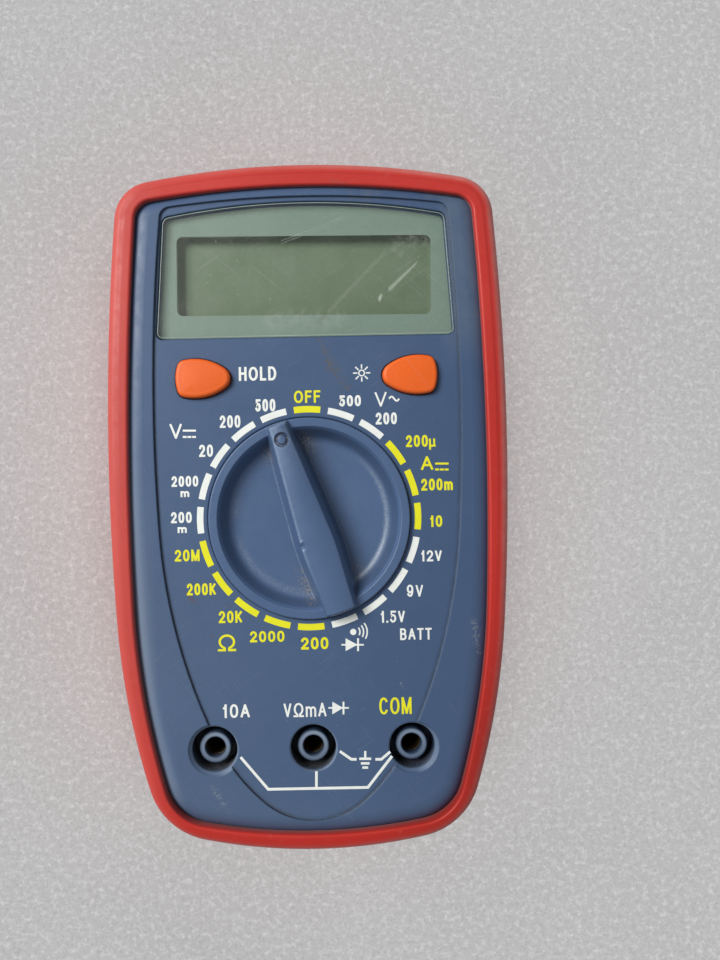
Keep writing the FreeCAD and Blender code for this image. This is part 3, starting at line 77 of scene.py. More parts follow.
def half_outline(top, parts, off, step):
    """Right half, clockwise from the top centre: points and outward normals."""
    px, py, a = 0.0, top + off, 90.0
    pts, nrm = [], []
    for p in parts:
        ux, uy = unit(a)
        if p[0] in "LH":
            ln = p[1] if p[0] == "L" else px
            n = max(2, int(ln / step))
            for k in range(n):
                t = ln * k / n
                pts.append((px + t * uy, py - t * ux))
                nrm.append((ux, uy))
            px, py = px + ln * uy, py - ln * ux
            continue
        r, sweep = (px / ux, a + 90.0) if p[0] == "C" else (p[1] + off, p[2])
        cx, cy = px - r * ux, py - r * uy
        n = max(3, int(math.radians(sweep) * r / step), int(sweep / 4.0))
        for k in range(n):
            b = a - sweep * k / n
            wx, wy = unit(b)
            pts.append((cx + r * wx, cy + r * wy))
            nrm.append((wx, wy))
        a -= sweep
        wx, wy = unit(a)
        px, py = cx + r * wx, cy + r * wy
    pts.append((px, py))
    nrm.append((0.0, -1.0))
    return np.array(pts), np.array(nrm)


def outline(top, parts, off=0.0, step=0.5, centre=(0.0, 0.0), rot=0.0):
    p, n = half_outline(top, parts, off, step)
    q, m = p[1:-1][::-1] * (-1, 1), n[1:-1][::-1] * (-1, 1)
    p, n = np.vstack([p, q]), np.vstack([n, m])
    c, s = unit(rot)
    R = np.array([[c, s], [-s, c]])
    return p @ R + np.array(centre), n @ R


def ray_to(poly, origin, direction):
    """Distance from origin along direction to a closed polygon."""
    a, b = poly, np.roll(poly, -1, axis=0)
    e = b - a
    den = direction[0] * e[:, 1] - direction[1] * e[:, 0]
    den = np.where(abs(den) < 1e-12, 1e-12, den)
    w = a - origin
    t = (w[:, 0] * e[:, 1] - w[:, 1] * e[:, 0]) / den
    s = (w[:, 0] * direction[1] - w[:, 1] * direction[0]) / den
    ok = (s >= -1e-9) & (s <= 1 + 1e-9) & (t > 1e-6)
    return t[ok].min() if ok.any() else None


def smooth(a, b, x):
    t = np.clip((np.asarray(x, float) - a) / (b - a), 0, 1)
    return t * t * (3 - 2 * t)


# ------------------------------------------------------------- mesh helpers
def make_mesh(name, verts, faces, mat=None, smooth_shade=True, angle=None):
    me = bpy.data.meshes.new(name)
    me.from_pydata([tuple(v) for v in verts], [], faces)
    me.validate()
    me.update()
    ob = bpy.data.objects.new(name, me)
    bpy.context.scene.collection.objects.link(ob)
    if mat:
        me.materials.append(mat)
    if smooth_shade:
        me.polygons.foreach_set("use_smooth", [True] * len(me.polygons))
        if angle:
            me.set_sharp_from_angle(angle=math.radians(angle))
    return ob


def loops_mesh(name, loops, mat, closed_profile=False, cap=(False, False), flip=False, angle=None):
    """Loops is a list of (n, 3) arrays in mm, each a closed ring of n points."""
    n = len(loops[0])
    verts = np.concatenate(loops) * MM
    faces = []
    m = len(loops)
    last = m if closed_profile else m - 1
    for i in range(last):
        a, b = i * n, ((i + 1) % m) * n
        for j in range(n):
            k = (j + 1) % n
            f = (a + j, a + k, b + k, b + j)
            faces.append(f[::-1] if flip else f)
    if cap[0]:
        f = tuple(range(n))
        faces.append(f if flip else f[::-1])
    if cap[1]:
        f = tuple((m - 1) * n + j for j in range(n))
        faces.append(f[::-1] if flip else f)
    ob = make_mesh(name, verts, faces, mat, True, angle)
    return ob


def fix_normals(ob):
    import bmesh
    bm = bmesh.new()
    bm.from_mesh(ob.data)
    bmesh.ops.recalc_face_normals(bm, faces=bm.faces)
    bm.to_mesh(ob.data)
    bm.free()
    ob.data.update()


def flat_pieces(name, polys, z, thick, mat, body, slot):
    """Thin printed shapes: each poly is a triangle/quad list of points, in mm."""
    verts, faces = [], []
    for poly in polys:
        base = len(verts)
        n = len(poly)
        for zz in (z, z + thick):
            for x, y in poly:
                verts.append((x * MM, y * MM, zz * MM))
        faces.append(tuple(base + j for j in range(n))[::-1])
        faces.append(tuple(base + n + j for j in range(n)))
        for j in range(n):
            k = (j + 1) % n
            faces.append((base + j, base + k, base + n + k, base + n + j))
    ob = make_mesh(name, verts, faces, mat, False)
    fix_normals(ob)
    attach(ob, body)
    return ob


def set_attr(ob, name, values):
    a = ob.data.attributes.new(name, "FLOAT", "POINT")
    a.data.foreach_set("value", np.asarray(values, np.float32))


# ------------------------------------------------------------- node helpers
class Nodes:
    def __init__(self, name):
        self.m = bpy.data.materials.new(name)
        self.m.use_nodes = True
        self.t = self.m.node_tree
        self.t.nodes.clear()
        self.out = self.t.nodes.new("ShaderNodeOutputMaterial")
        tc = self.t.nodes.new("ShaderNodeTexCoord")
        sc = self.t.nodes.new("ShaderNodeVectorMath")
        sc.operation = "SCALE"
        sc.inputs["Scale"].default_value = 1000.0
        self.t.links.new(tc.outputs["Object"], sc.inputs[0])
        self.mm = sc.outputs[0]

    def put(self, inp, val):
        if hasattr(val, "is_output") and val.is_output:
            self.t.links.new(val, inp)
        elif val is not None:
            if isinstance(val, (tuple, list)) and len(val) == 3 and inp.type == "RGBA":
                val = (*val, 1.0)
            inp.default_value = val

    def noise(self, scale, detail=2.0, rough=0.5, vec=None, distort=0.0):
        n = self.t.nodes.new("ShaderNodeTexNoise")
        self.put(n.inputs["Vector"], vec or self.mm)
        n.inputs["Scale"].default_value = scale
        n.inputs["Detail"].default_value = detail
        n.inputs["Roughness"].default_value = rough
        n.inputs["Distortion"].default_value = distort
        return n.outputs["Fac"]

    def stretch(self, sx, sy, sz, rot=0.0):
        r = self.t.nodes.new("ShaderNodeVectorRotate")
        r.rotation_type = "Z_AXIS"
        self.put(r.inputs["Vector"], self.mm)
        r.inputs["Angle"].default_value = math.radians(-rot)
        n = self.t.nodes.new("ShaderNodeVectorMath")
        n.operation = "MULTIPLY"
        self.put(n.inputs[0], r.outputs[0])
        n.inputs[1].default_value = (sx, sy, sz)
        return n.outputs[0]

    def attr(self, name):
        n = self.t.nodes.new("ShaderNodeAttribute")
        n.attribute_name = name
        return n.outputs["Fac"]

    def streak(self, a, b, w0, w1, rough=0.35, scale=1.5):
        """Soft mark along the segment a-b (mm), w0 wide at a and w1 at b, with a ragged edge."""
        ax, ay = a
        dx, dy = b[0] - a[0], b[1] - a[1]
        ln = math.hypot(dx, dy)
        x, y, z = self.sep()
        px, py = self.math("SUBTRACT", x, ax), self.math("SUBTRACT", y, ay)
        t = self.math("ADD", self.math("MULTIPLY", px, dx / ln), self.math("MULTIPLY", py, dy / ln))
        d = self.math("ABSOLUTE", self.math("ADD", self.math("MULTIPLY", px, -dy / ln), self.math("MULTIPLY", py, dx / ln)))
        tn = self.ramp(t, 0.0, ln, 0.0, 1.0)
        w = self.ramp(tn, 0.0, 1.0, w0, w1)
        over = self.math("ABSOLUTE", self.math("SUBTRACT", t, self.ramp(t, 0.0, ln, 0.0, ln)))
        d = self.math("ADD", d, over)
        wob = self.ramp(self.noise(scale, 4.0, 0.7), 0.25, 0.75, 1 - rough, 1 + rough)
        k = self.math("DIVIDE", d, self.math("MULTIPLY", w, wob))
        return self.ramp(k, 1.0, 0.35, 0.0, 1.0)

    def cells(self, scale, vec=None, feature="F1"):
        n = self.t.nodes.new("ShaderNodeTexVoronoi")
        n.feature = feature
        self.put(n.inputs["Vector"], vec or self.mm)
        n.inputs["Scale"].default_value = scale
        return n

    def ramp(self, fac, lo, hi, a=0.0, b=1.0):
        n = self.t.nodes.new("ShaderNodeMapRange")
        n.clamp = True
        self.put(n.inputs["Value"], fac)
        n.inputs["From Min"].default_value = lo
        n.inputs["From Max"].default_value = hi
        n.inputs["To Min"].default_value = a
        n.inputs["To Max"].default_value = b
        return n.outputs[0]

    def mix(self, fac, a, b, kind="MIX"):
        n = self.t.nodes.new("ShaderNodeMix")
        n.data_type = "RGBA"
        n.blend_type = kind
        self.put(n.inputs[0], fac)
        self.put(n.inputs[6], a)
        self.put(n.inputs[7], b)
        return n.outputs[2]

    def math(self, op, a, b=None):
        n = self.t.nodes.new("ShaderNodeMath")
        n.operation = op
        self.put(n.inputs[0], a)
        if b is not None:
            self.put(n.inputs[1], b)
        return n.outputs[0]

    def sep(self, vec=None):
        n = self.t.nodes.new("ShaderNodeSeparateXYZ")
        self.put(n.inputs[0], vec or self.mm)
        return n.outputs

    def bevel(self, radius_mm, samples=3):
        n = self.t.nodes.new("ShaderNodeBevel")
        n.samples = samples
        n.inputs["Radius"].default_value = radius_mm * MM
        return n.outputs[0]

    def geo_z(self):
        """Upward share of the true surface normal."""
        geo = self.t.nodes.new("ShaderNodeNewGeometry")
        sp = self.t.nodes.new("ShaderNodeSeparateXYZ")
        self.t.links.new(geo.outputs["True Normal"], sp.inputs[0])
        return sp.outputs[2]

    def bump(self, height, dist_mm, strength=1.0, normal=None):
        n = self.t.nodes.new("ShaderNodeBump")
        self.put(n.inputs["Height"], height)
        n.inputs["Distance"].default_value = dist_mm * MM
        n.inputs["Strength"].default_value = strength
        if normal is not None:
            self.put(n.inputs["Normal"], normal)
        return n.outputs[0]

    def ao(self, dist_mm, samples=2):
        n = self.t.nodes.new("ShaderNodeAmbientOcclusion")
        n.samples = samples
        n.only_local = True
        n.inputs["Distance"].default_value = dist_mm * MM
        return n.outputs["AO"]

    def principled(self, **kw):
        n = self.t.nodes.new("ShaderNodeBsdfPrincipled")
        for k, val in kw.items():
            self.put(n.inputs[k.replace("_", " ")], val)
        return n

    def finish(self, shader):
        self.t.links.new(shader, self.out.inputs["Surface"])
        return self.m


def shade(c, f):
    return tuple(max(0.0, min(1.0, x * f)) for x in c)


def plastic(name, base, rough=0.5, var=0.12, grain=0.02, grain_scale=3.5, bevel=0.2, dirt=0.35,
            dirt_col=(0.10, 0.085, 0.06), scratch=0.25, speck=0.0, spec=0.5, coat=0.0, sheen=0.0,
            extra=None, occ_mm=1.1):
    """Moulded plastic: cloudy tone, spark-eroded grain, rounded edges, grime in corners, fine scratches."""
    g = Nodes(name)
    big = g.noise(0.045, 3.0, 0.55)
    fine = g.noise(grain_scale, 2.0, 0.6)
    col = g.mix(g.ramp(big, 0.3, 0.7), shade(base, 1 - var), shade(base, 1 + var))
    col = g.mix(g.ramp(fine, 0.35, 0.7, 0.0, 0.35), col, shade(base, 1.25))
    nrm = g.bevel(bevel) if bevel else None
    r = g.ramp(g.noise(0.3, 3.0, 0.6), 0.3, 0.75, rough - 0.07, rough + 0.09)
    if scratch:
        s1 = g.ramp(g.noise(1.0, 1.0, 0.4, g.stretch(0.10, 4.5, 1.0, 34)), 0.69, 0.73)
        s2 = g.ramp(g.noise(1.0, 1.0, 0.4, g.stretch(0.08, 5.0, 1.0, -52)), 0.70, 0.74)
        s3 = g.math("MAXIMUM", s1, s2)
        gate = g.ramp(g.noise(0.05, 2.0, 0.5), 0.5, 0.62)
        s3 = g.math("MULTIPLY", s3, gate)
        col = g.mix(g.math("MULTIPLY", s3, scratch), col, (0.45, 0.5, 0.55))
    if speck:
        v = g.cells(0.9)
        near = g.ramp(v.outputs["Distance"], 0.05, 0.12, 1.0, 0.0)
        pick = g.ramp(v.outputs["Color"], 0.72, 0.74)
        col = g.mix(g.math("MULTIPLY", g.math("MULTIPLY", near, pick), speck), col, (0.5, 0.5, 0.46))
    if dirt:
        occ = g.ramp(g.ao(occ_mm), 0.35, 0.85, 1.0, 0.0)
        patch = g.ramp(g.noise(0.35, 4.0, 0.7), 0.42, 0.66)
        col = g.mix(g.math("MULTIPLY", g.math("MULTIPLY", occ, patch), dirt), col, dirt_col)
    if extra:
        col = extra(g, col)
    b = g.bump(fine, grain, 1.0, nrm)
    b = g.bump(g.noise(0.8, 2.0), grain * 0.8, 0.5, b)
    p = g.principled(Base_Color=col, Roughness=r, Normal=b, Specular_IOR_Level=spec, Coat_Weight=coat,
                     Coat_Roughness=0.25, Sheen_Weight=sheen)
    return g.finish(p.outputs[0])


def metal(name, base, rough=0.3, brush=0.35, bevel=0.1, tarnish=0.3, tarnish_col=(0.12, 0.09, 0.06)):
    g = Nodes(name)
    lines = g.noise(1.0, 2.0, 0.6, g.stretch(0.6, 9.0, 9.0, 15))
    spots = g.ramp(g.noise(0.6, 4.0, 0.65), 0.45, 0.75)
    col = g.mix(g.math("MULTIPLY", spots, tarnish), base, tarnish_col)
    r = g.ramp(lines, 0.3, 0.7, rough - 0.08, rough + brush * 0.4)
    nrm = g.bevel(bevel) if bevel else None
    b = g.bump(lines, 0.01, brush, nrm)
    p = g.principled(Base_Color=col, Metallic=1.0, Roughness=r, Normal=b)
    return g.finish(p.outputs[0])


def rubber():
    """Soft red elastomer: satin skin, painted sheen on the outer bead and down the left side, and painted shade toward
    the lower right and its corner, in the crease and along the inner edge where it meets the case.
    """
    g = Nodes("rubber_red")
    big = g.noise(0.03, 3.0, 0.5)
    fine = g.noise(2.6, 3.0, 0.6)
    col = g.mix(g.ramp(big, 0.3, 0.7), (0.520, 0.026, 0.018), (0.580, 0.036, 0.027))
    x, y, z = g.sep()
    # painted shade: a deeper red toward the lower right
    low = g.math("MULTIPLY", g.ramp(g.math("SUBTRACT", x, y), 5.0, 75.0), 0.85)
    col = g.mix(low, col, (0.52, 0.016, 0.008))
    # painted shade on the lower right corner
    corner = g.math("MULTIPLY", g.math("MULTIPLY", g.ramp(x, 8.0, 32.0), g.ramp(y, -18.0, -48.0)), 0.85)
    col = g.mix(corner, col, (0.37, 0.011, 0.004))
    # painted sheen: paler pink down the left side, strongest near the top
    painted_left_sheen = g.math("MULTIPLY", g.ramp(x, -26.0, -35.0), g.ramp(z, 26.0, 30.0, 0.4, 1.0))
    col = g.mix(g.math("MULTIPLY", painted_left_sheen, 0.27), col, (0.62, 0.135, 0.115))
    # painted sheen on the outer bead, paler and patchy, strongest on the right
    bead_sheen = g.attr("bead_sheen")
    side = g.ramp(x, 30.0, -30.0, 2.0, 0.50)
    patchy = g.ramp(g.noise(0.35, 3.0, 0.6), 0.3, 0.7, 0.32, 0.55)
    col = g.mix(g.math("MULTIPLY", bead_sheen, g.math("MULTIPLY", side, patchy)), col, (0.60, 0.150, 0.130))
    # painted shade in the crease inside the bead
    crease_shade = g.attr("crease_shade")
    col = g.mix(g.math("MULTIPLY", crease_shade, 0.35), col, (0.36, 0.018, 0.014))
    scuff = g.math("MULTIPLY", g.ramp(g.noise(0.6, 5.0, 0.7), 0.58, 0.80), 0.22)
    col = g.mix(scuff, col, (0.62, 0.14, 0.11))
    chip = g.streak(row(330, 183.5), row(345, 185.5), 0.5, 0.3, 0.5, 1.5)
    col = g.mix(g.math("MULTIPLY", chip, 0.55), col, (0.40, 0.06, 0.045))
    v = g.cells(0.5)
    dot = g.math("MULTIPLY", g.ramp(v.outputs["Distance"], 0.04, 0.10, 1.0, 0.0),
                 g.ramp(v.outputs["Color"], 0.84, 0.86))
    col = g.mix(g.math("MULTIPLY", dot, 0.5), col, (0.45, 0.22, 0.18))
    # painted shade along the inner edge of the boot where it meets the case
    edge = g.attr("edge")
    col = g.mix(g.math("MULTIPLY", edge, 0.14), col, (0.16, 0.018, 0.014))
    r = g.ramp(g.noise(0.4, 3.0, 0.6), 0.3, 0.7, 0.44, 0.58)
    b = g.bump(fine, 0.016, 0.8)
    b = g.bump(g.noise(0.35, 2.0), 0.04, 0.5, b)
    p = g.principled(Base_Color=col, Roughness=r, Normal=b, Specular_IOR_Level=0.4, Sheen_Weight=0.10)
    return g.finish(p.outputs[0])


def window_mat(name="window_clear", marks=True):
    """Clear moulded window: a thin see-through skin with hairlines, haze from rubbing and dusty specks."""
    g = Nodes(name)
    gate = g.ramp(g.noise(0.07, 2.0), 0.45, 0.6)
    s1 = g.ramp(g.noise(1.0, 1.0, 0.3, g.stretch(0.06, 3.6, 1.0, 34)), 0.715, 0.745)
    s2 = g.ramp(g.noise(1.0, 1.0, 0.3, g.stretch(0.05, 4.2, 1.0, -41)), 0.72, 0.745)
    s3 = g.ramp(g.noise(1.0, 1.0, 0.3, g.stretch(0.09, 6.0, 1.0, 82)), 0.72, 0.75)
    sc = g.math("MULTIPLY", g.math("MAXIMUM", g.math("MAXIMUM", s1, s2), s3), gate)
    v = g.cells(0.62)
    dot = g.math("MULTIPLY", g.ramp(v.outputs["Distance"], 0.03, 0.10, 1.0, 0.0), g.ramp(v.outputs["Color"], 0.70, 0.72))
    haze = g.ramp(g.noise(0.10, 4.0, 0.6), 0.4, 0.75, 0.0, 0.03)
    film = g.math("MAXIMUM", g.math("MULTIPLY", sc, 0.10), g.math("MULTIPLY", dot, 0.42))
    if marks:
        broken = g.ramp(g.noise(1.2, 4.0, 0.7), 0.35, 0.55)
        m = g.math("MULTIPLY", g.streak(row(417, 262), row(390, 288), 0.20, 0.50, 0.5), 0.22)
        m = g.math("MAXIMUM", m, g.math("MULTIPLY", g.streak(row(381, 295), row(380, 299), 0.45, 0.35, 0.8), 0.35))
        m = g.math("MAXIMUM", m, g.math("MULTIPLY", g.math("MULTIPLY", g.streak(row(345, 216), row(300, 234), 0.10, 0.08, 0.6), broken), 0.20))
        m = g.math("MAXIMUM", m, g.math("MULTIPLY", g.streak(row(300, 234), row(281, 241), 0.18, 0.12, 0.8), 0.20))
        m = g.math("MAXIMUM", m, g.math("MULTIPLY", g.math("MULTIPLY", g.streak(row(386, 250), row(328, 312), 0.35, 0.5, 0.8), broken), 0.06))
        low = g.math("MULTIPLY", g.streak(row(272, 321), row(342, 318), 2.6, 2.2, 0.8, 0.5), g.ramp(g.noise(0.9, 5.0, 0.75), 0.42, 0.66))
        m = g.math("MAXIMUM", m, g.math("MULTIPLY", low, 0.13))
        top = g.math("MULTIPLY", g.streak(row(395, 246), row(425, 238), 2.0, 2.6, 0.8, 0.5), g.ramp(g.noise(0.7, 5.0, 0.75), 0.42, 0.66))
        m = g.math("MAXIMUM", m, g.math("MULTIPLY", top, 0.12))
        film = g.math("MAXIMUM", film, m)
    film = g.math("ADD", film, haze)
    clear = g.t.nodes.new("ShaderNodeBsdfTransparent")
    clear.inputs[0].default_value = (0.985, 0.995, 0.99, 1)
    dust_and_sheen = g.t.nodes.new("ShaderNodeBsdfDiffuse")
    dcol = (0.62, 0.67, 0.60)
    if marks:
        brown = g.math("MULTIPLY", g.streak(row(318, 322), row(327, 312), 0.7, 0.4, 0.9, 1.5), 1.0)
        g.put(dust_and_sheen.inputs[0], g.mix(brown, dcol, (0.35, 0.22, 0.13)))
    else:
        dust_and_sheen.inputs[0].default_value = (*dcol, 1)
    gloss = g.t.nodes.new("ShaderNodeBsdfGlossy")
    gloss.inputs["Roughness"].default_value = 0.42
    g.put(gloss.inputs["Normal"], g.bump(g.noise(0.25, 2.0), 0.01, 0.4))
    m1 = g.t.nodes.new("ShaderNodeMixShader")
    g.put(m1.inputs[0], film)
    g.t.links.new(clear.outputs[0], m1.inputs[1])
    g.t.links.new(dust_and_sheen.outputs[0], m1.inputs[2])
    fr = g.t.nodes.new("ShaderNodeFresnel")
    fr.inputs["IOR"].default_value = 1.47
    m2 = g.t.nodes.new("ShaderNodeMixShader")
    geo = g.t.nodes.new("ShaderNodeNewGeometry")
    front = g.math("SUBTRACT", 1.0, geo.outputs["Backfacing"])
    g.put(m2.inputs[0], g.math("MULTIPLY", g.math("MINIMUM", fr.outputs[0], 0.16), front))
    g.t.links.new(m1.outputs[0], m2.inputs[1])
    g.t.links.new(gloss.outputs[0], m2.inputs[2])
    return g.finish(m2.outputs[0])


def paint(name, base, wear=0.25, wear_col=(0.10, 0.15, 0.22), bumpy=0.006):
    """Screen-printed ink with small spots of wear."""
    g = Nodes(name)
    wear_and_highlight = g.ramp(g.noise(1.6, 5.0, 0.75), 0.64, 0.72)
    gate = g.ramp(g.noise(0.09, 2.0), 0.42, 0.6)
    col = g.mix(g.ramp(g.noise(0.5, 3.0), 0.3, 0.7), shade(base, 0.93), base)
    col = g.mix(g.math("MULTIPLY", g.math("MULTIPLY", wear_and_highlight, gate), wear), col, wear_col)
    p = g.principled(Base_Color=col, Roughness=g.ramp(g.noise(2.0), 0.3, 0.7, 0.42, 0.6),
                     Normal=g.bump(g.noise(3.0, 2.0), bumpy, 0.6))
    return g.finish(p.outputs[0])


# ---------------------------------------------------------------- materials
ROT = math.radians(1.1)


def row(px, py):
    """Place on the face, in mm, of a spot in the 720 x 960 view."""
    dx, dy = px - 309.1, -(py - 518.2)
    return ((math.cos(ROT) * dx + math.sin(ROT) * dy) / 5.195,
            (-math.sin(ROT) * dx + math.cos(ROT) * dy) / 5.195 - 2.2)


def case_wear_and_painted_light(g, col):
    """Old stains, patches of rubbing and hairline scuffs on the front of the case, with painted highlights on edges
    that lean toward the light, painted light toward the lower left and painted shade in the socket wells and down the
    right-hand side.
    """
    x, y, z = g.sep()
    # painted highlight on edges whose bevelled normal leans toward the key light, toned darker toward the top
    lean = g.t.nodes.new("ShaderNodeVectorMath")
    lean.operation = "DOT_PRODUCT"
    g.t.links.new(g.bevel(0.34), lean.inputs[0])
    lean.inputs[1].default_value = (-0.82, 0.26, 0.51)
    painted_edge_highlight = g.math("MULTIPLY", g.ramp(lean.outputs["Value"], 0.60, 0.88), g.ramp(z, 28.6, 29.8))
    tone = g.mix(g.ramp(y, 0.0, 34.0), (0.250, 0.325, 0.43), (0.050, 0.080, 0.145))
    col = g.mix(g.math("MULTIPLY", painted_edge_highlight, 0.64), col, tone)
    top = g.ramp(z, 26.0, 28.0)
    stain = g.math("MAXIMUM", g.streak(row(318, 338), row(334, 368), 0.5, 1.2, 0.8),
                   g.streak(row(330, 362), row(347, 388), 1.6, 1.1, 0.9, 1.2))
    spots = g.ramp(g.noise(1.3, 5.0, 0.75), 0.40, 0.62)
    m = g.math("MULTIPLY", g.math("MULTIPLY", stain, spots), 0.75)
    col = g.mix(g.math("MULTIPLY", m, top), col, (0.135, 0.115, 0.095))
    rust = g.math("MAXIMUM", g.streak(row(188, 594), row(194, 602), 0.8, 0.5, 0.9, 1.4),
                  g.math("MAXIMUM", g.streak(row(226, 606), row(232, 606), 0.45, 0.3, 0.9, 2.0),
                         g.streak(row(212, 636), row(214, 640), 0.6, 0.4, 0.9, 2.0)))
    col = g.mix(g.math("MULTIPLY", g.math("MULTIPLY", rust, spots), 0.65), col, (0.13, 0.07, 0.045))
    pale = g.math("MAXIMUM", g.streak(row(473, 622), row(480, 655), 1.3, 0.6, 0.9, 1.0),
                  g.math("MAXIMUM", g.streak(row(213, 786), row(226, 806), 0.7, 0.5, 0.9, 1.2),
                         g.streak(row(401, 683), row(403, 690), 0.35, 0.2, 0.6, 2.0)))
    fleck = g.ramp(g.noise(1.9, 5.0, 0.8), 0.50, 0.62)
    col = g.mix(g.math("MULTIPLY", g.math("MULTIPLY", pale, fleck), 0.8), col, (0.30, 0.34, 0.38))
    # grime packed in the step round the raised face
    groove = g.ramp(g.ao(0.85), 0.52, 0.94, 1.0, 0.0)
    face = g.math("MULTIPLY", g.ramp(z, 29.6, 30.2), g.ramp(g.noise(0.5, 3.0, 0.6), 0.3, 0.6, 0.45, 1.0))
    face = g.math("MULTIPLY", face, g.ramp(y, 52.0, 56.0, 1.0, 0.35))
    col = g.mix(g.math("MULTIPLY", g.math("MULTIPLY", groove, face), 0.90), col, (0.030, 0.034, 0.041))
    # painted shade in the wells and throats round the sockets; the sleeve tops in them get painted shade, with a
    # painted highlight along their crest that is stronger toward the top
    ax_ = g.math("ABSOLUTE", x)
    jx_ = g.math("MINIMUM", ax_, g.math("ABSOLUTE", g.math("SUBTRACT", ax_, 19.05)))
    jy_ = g.math("ADD", y, 46.4)
    jr_ = g.math("SQRT", g.math("ADD", g.math("MULTIPLY", jx_, jx_), g.math("MULTIPLY", jy_, jy_)))
    moat = g.math("MULTIPLY", g.ramp(jr_, 2.98, 3.06), g.math("MULTIPLY", g.ramp(jr_, 5.4, 5.2), g.ramp(z, 30.7, 29.2)))
    throat = g.math("MULTIPLY", g.ramp(jr_, 2.10, 2.04), g.ramp(z, 29.5, 28.6))
    col = g.mix(g.math("MULTIPLY", g.math("MAXIMUM", moat, throat), 0.90), col, (0.008, 0.010, 0.013))
    # painted shade on the sleeve tops
    sleeve = g.math("MULTIPLY", g.math("MULTIPLY", g.ramp(jr_, 1.95, 2.05), g.ramp(jr_, 3.06, 3.0)), g.ramp(z, 29.2, 29.6))
    col = g.mix(g.math("MULTIPLY", sleeve, 0.55), col, (0.020, 0.030, 0.046))
    # painted highlight along the crest of each sleeve top, stronger toward the top
    crest_highlight = g.math("MULTIPLY", g.ramp(jr_, 2.02, 2.30), g.ramp(jr_, 2.95, 2.58))
    crest_highlight = g.math("MULTIPLY", g.math("MULTIPLY", crest_highlight, sleeve), g.ramp(g.math("SUBTRACT", jy_, g.math("MULTIPLY", x, 0.0)), -2.4, 2.4, 0.45, 1.0))
    col = g.mix(g.math("MULTIPLY", crest_highlight, 0.88), col, (0.275, 0.345, 0.455))
    # painted light on the shaded flare wall round each well, stronger toward the top
    lip = g.math("MULTIPLY", g.math("MULTIPLY", g.ramp(jr_, 4.30, 4.38), g.ramp(jr_, 4.90, 4.74)), g.ramp(z, 30.1, 30.6))
    flank = g.math("SUBTRACT", 1.0, g.ramp(g.geo_z(), 0.80, 0.95))
    lip = g.math("MULTIPLY", lip, g.ramp(jy_, -3.6, 0.5, 0.34, 0.85))
    col = g.mix(g.math("MULTIPLY", lip, flank), col, (0.17, 0.235, 0.34))
    # grey dust lying on the lower wall of each well
    shelf = g.math("MULTIPLY", g.math("MULTIPLY", g.ramp(jr_, 3.7, 4.3), g.ramp(jr_, 4.9, 4.7)), g.ramp(jy_, -1.0, -3.0))
    shelf = g.math("MULTIPLY", g.math("MULTIPLY", shelf, g.ramp(z, 30.9, 30.7)), g.ramp(g.noise(2.2, 4.0, 0.8), 0.42, 0.60))
    col = g.mix(g.math("MULTIPLY", shelf, 0.70), col, (0.115, 0.105, 0.090))
    # painted light toward the lower left and on the rounding of the left shoulder, a patch of rubbing at the bottom,
    # and painted shade down the right-hand side
    wear_and_highlight = g.math("MULTIPLY", g.ramp(x, 8.0, -34.0), g.ramp(y, 12.0, -30.0))
    col = g.mix(g.math("MULTIPLY", wear_and_highlight, 0.20), col, (0.16, 0.20, 0.27))
    # painted highlight on the rounding of the left shoulder
    cheek = g.math("MULTIPLY", g.ramp(x, -29.5, -32.0), g.ramp(y, 10.0, -30.0))
    col = g.mix(g.math("MULTIPLY", cheek, 0.35), col, (0.19, 0.235, 0.30))
    chin_rub = g.math("MULTIPLY", g.ramp(y, -51.0, -60.0), g.ramp(g.noise(0.25, 4.0, 0.6), 0.3, 0.6, 0.4, 1.0))
    col = g.mix(g.math("MULTIPLY", chin_rub, 0.08), col, (0.20, 0.24, 0.29))
    # painted shade, darker toward the right
    col = g.mix(g.math("MULTIPLY", g.ramp(x, 4.0, 30.0), 0.30), col, (0.040, 0.076, 0.165))
    strip = g.math("MULTIPLY", g.math("MULTIPLY", g.ramp(x, 25.5, 28.0), g.ramp(y, 26.0, 36.0)), g.ramp(g.noise(0.3, 4.0, 0.6), 0.3, 0.6, 0.6, 1.0))
    col = g.mix(g.math("MULTIPLY", strip, 0.34), col, (0.165, 0.215, 0.255))
    # dull grime along the top edge of the face, beside the boot
    far = g.math("MULTIPLY", g.ramp(y, 54.0, 61.0), g.ramp(g.noise(0.18, 4.0, 0.7), 0.50, 0.68))
    far = g.math("MULTIPLY", far, g.ramp(x, -6.0, 16.0))
    col = g.mix(g.math("MULTIPLY", far, 0.55), col, (0.15, 0.16, 0.17))
    return col


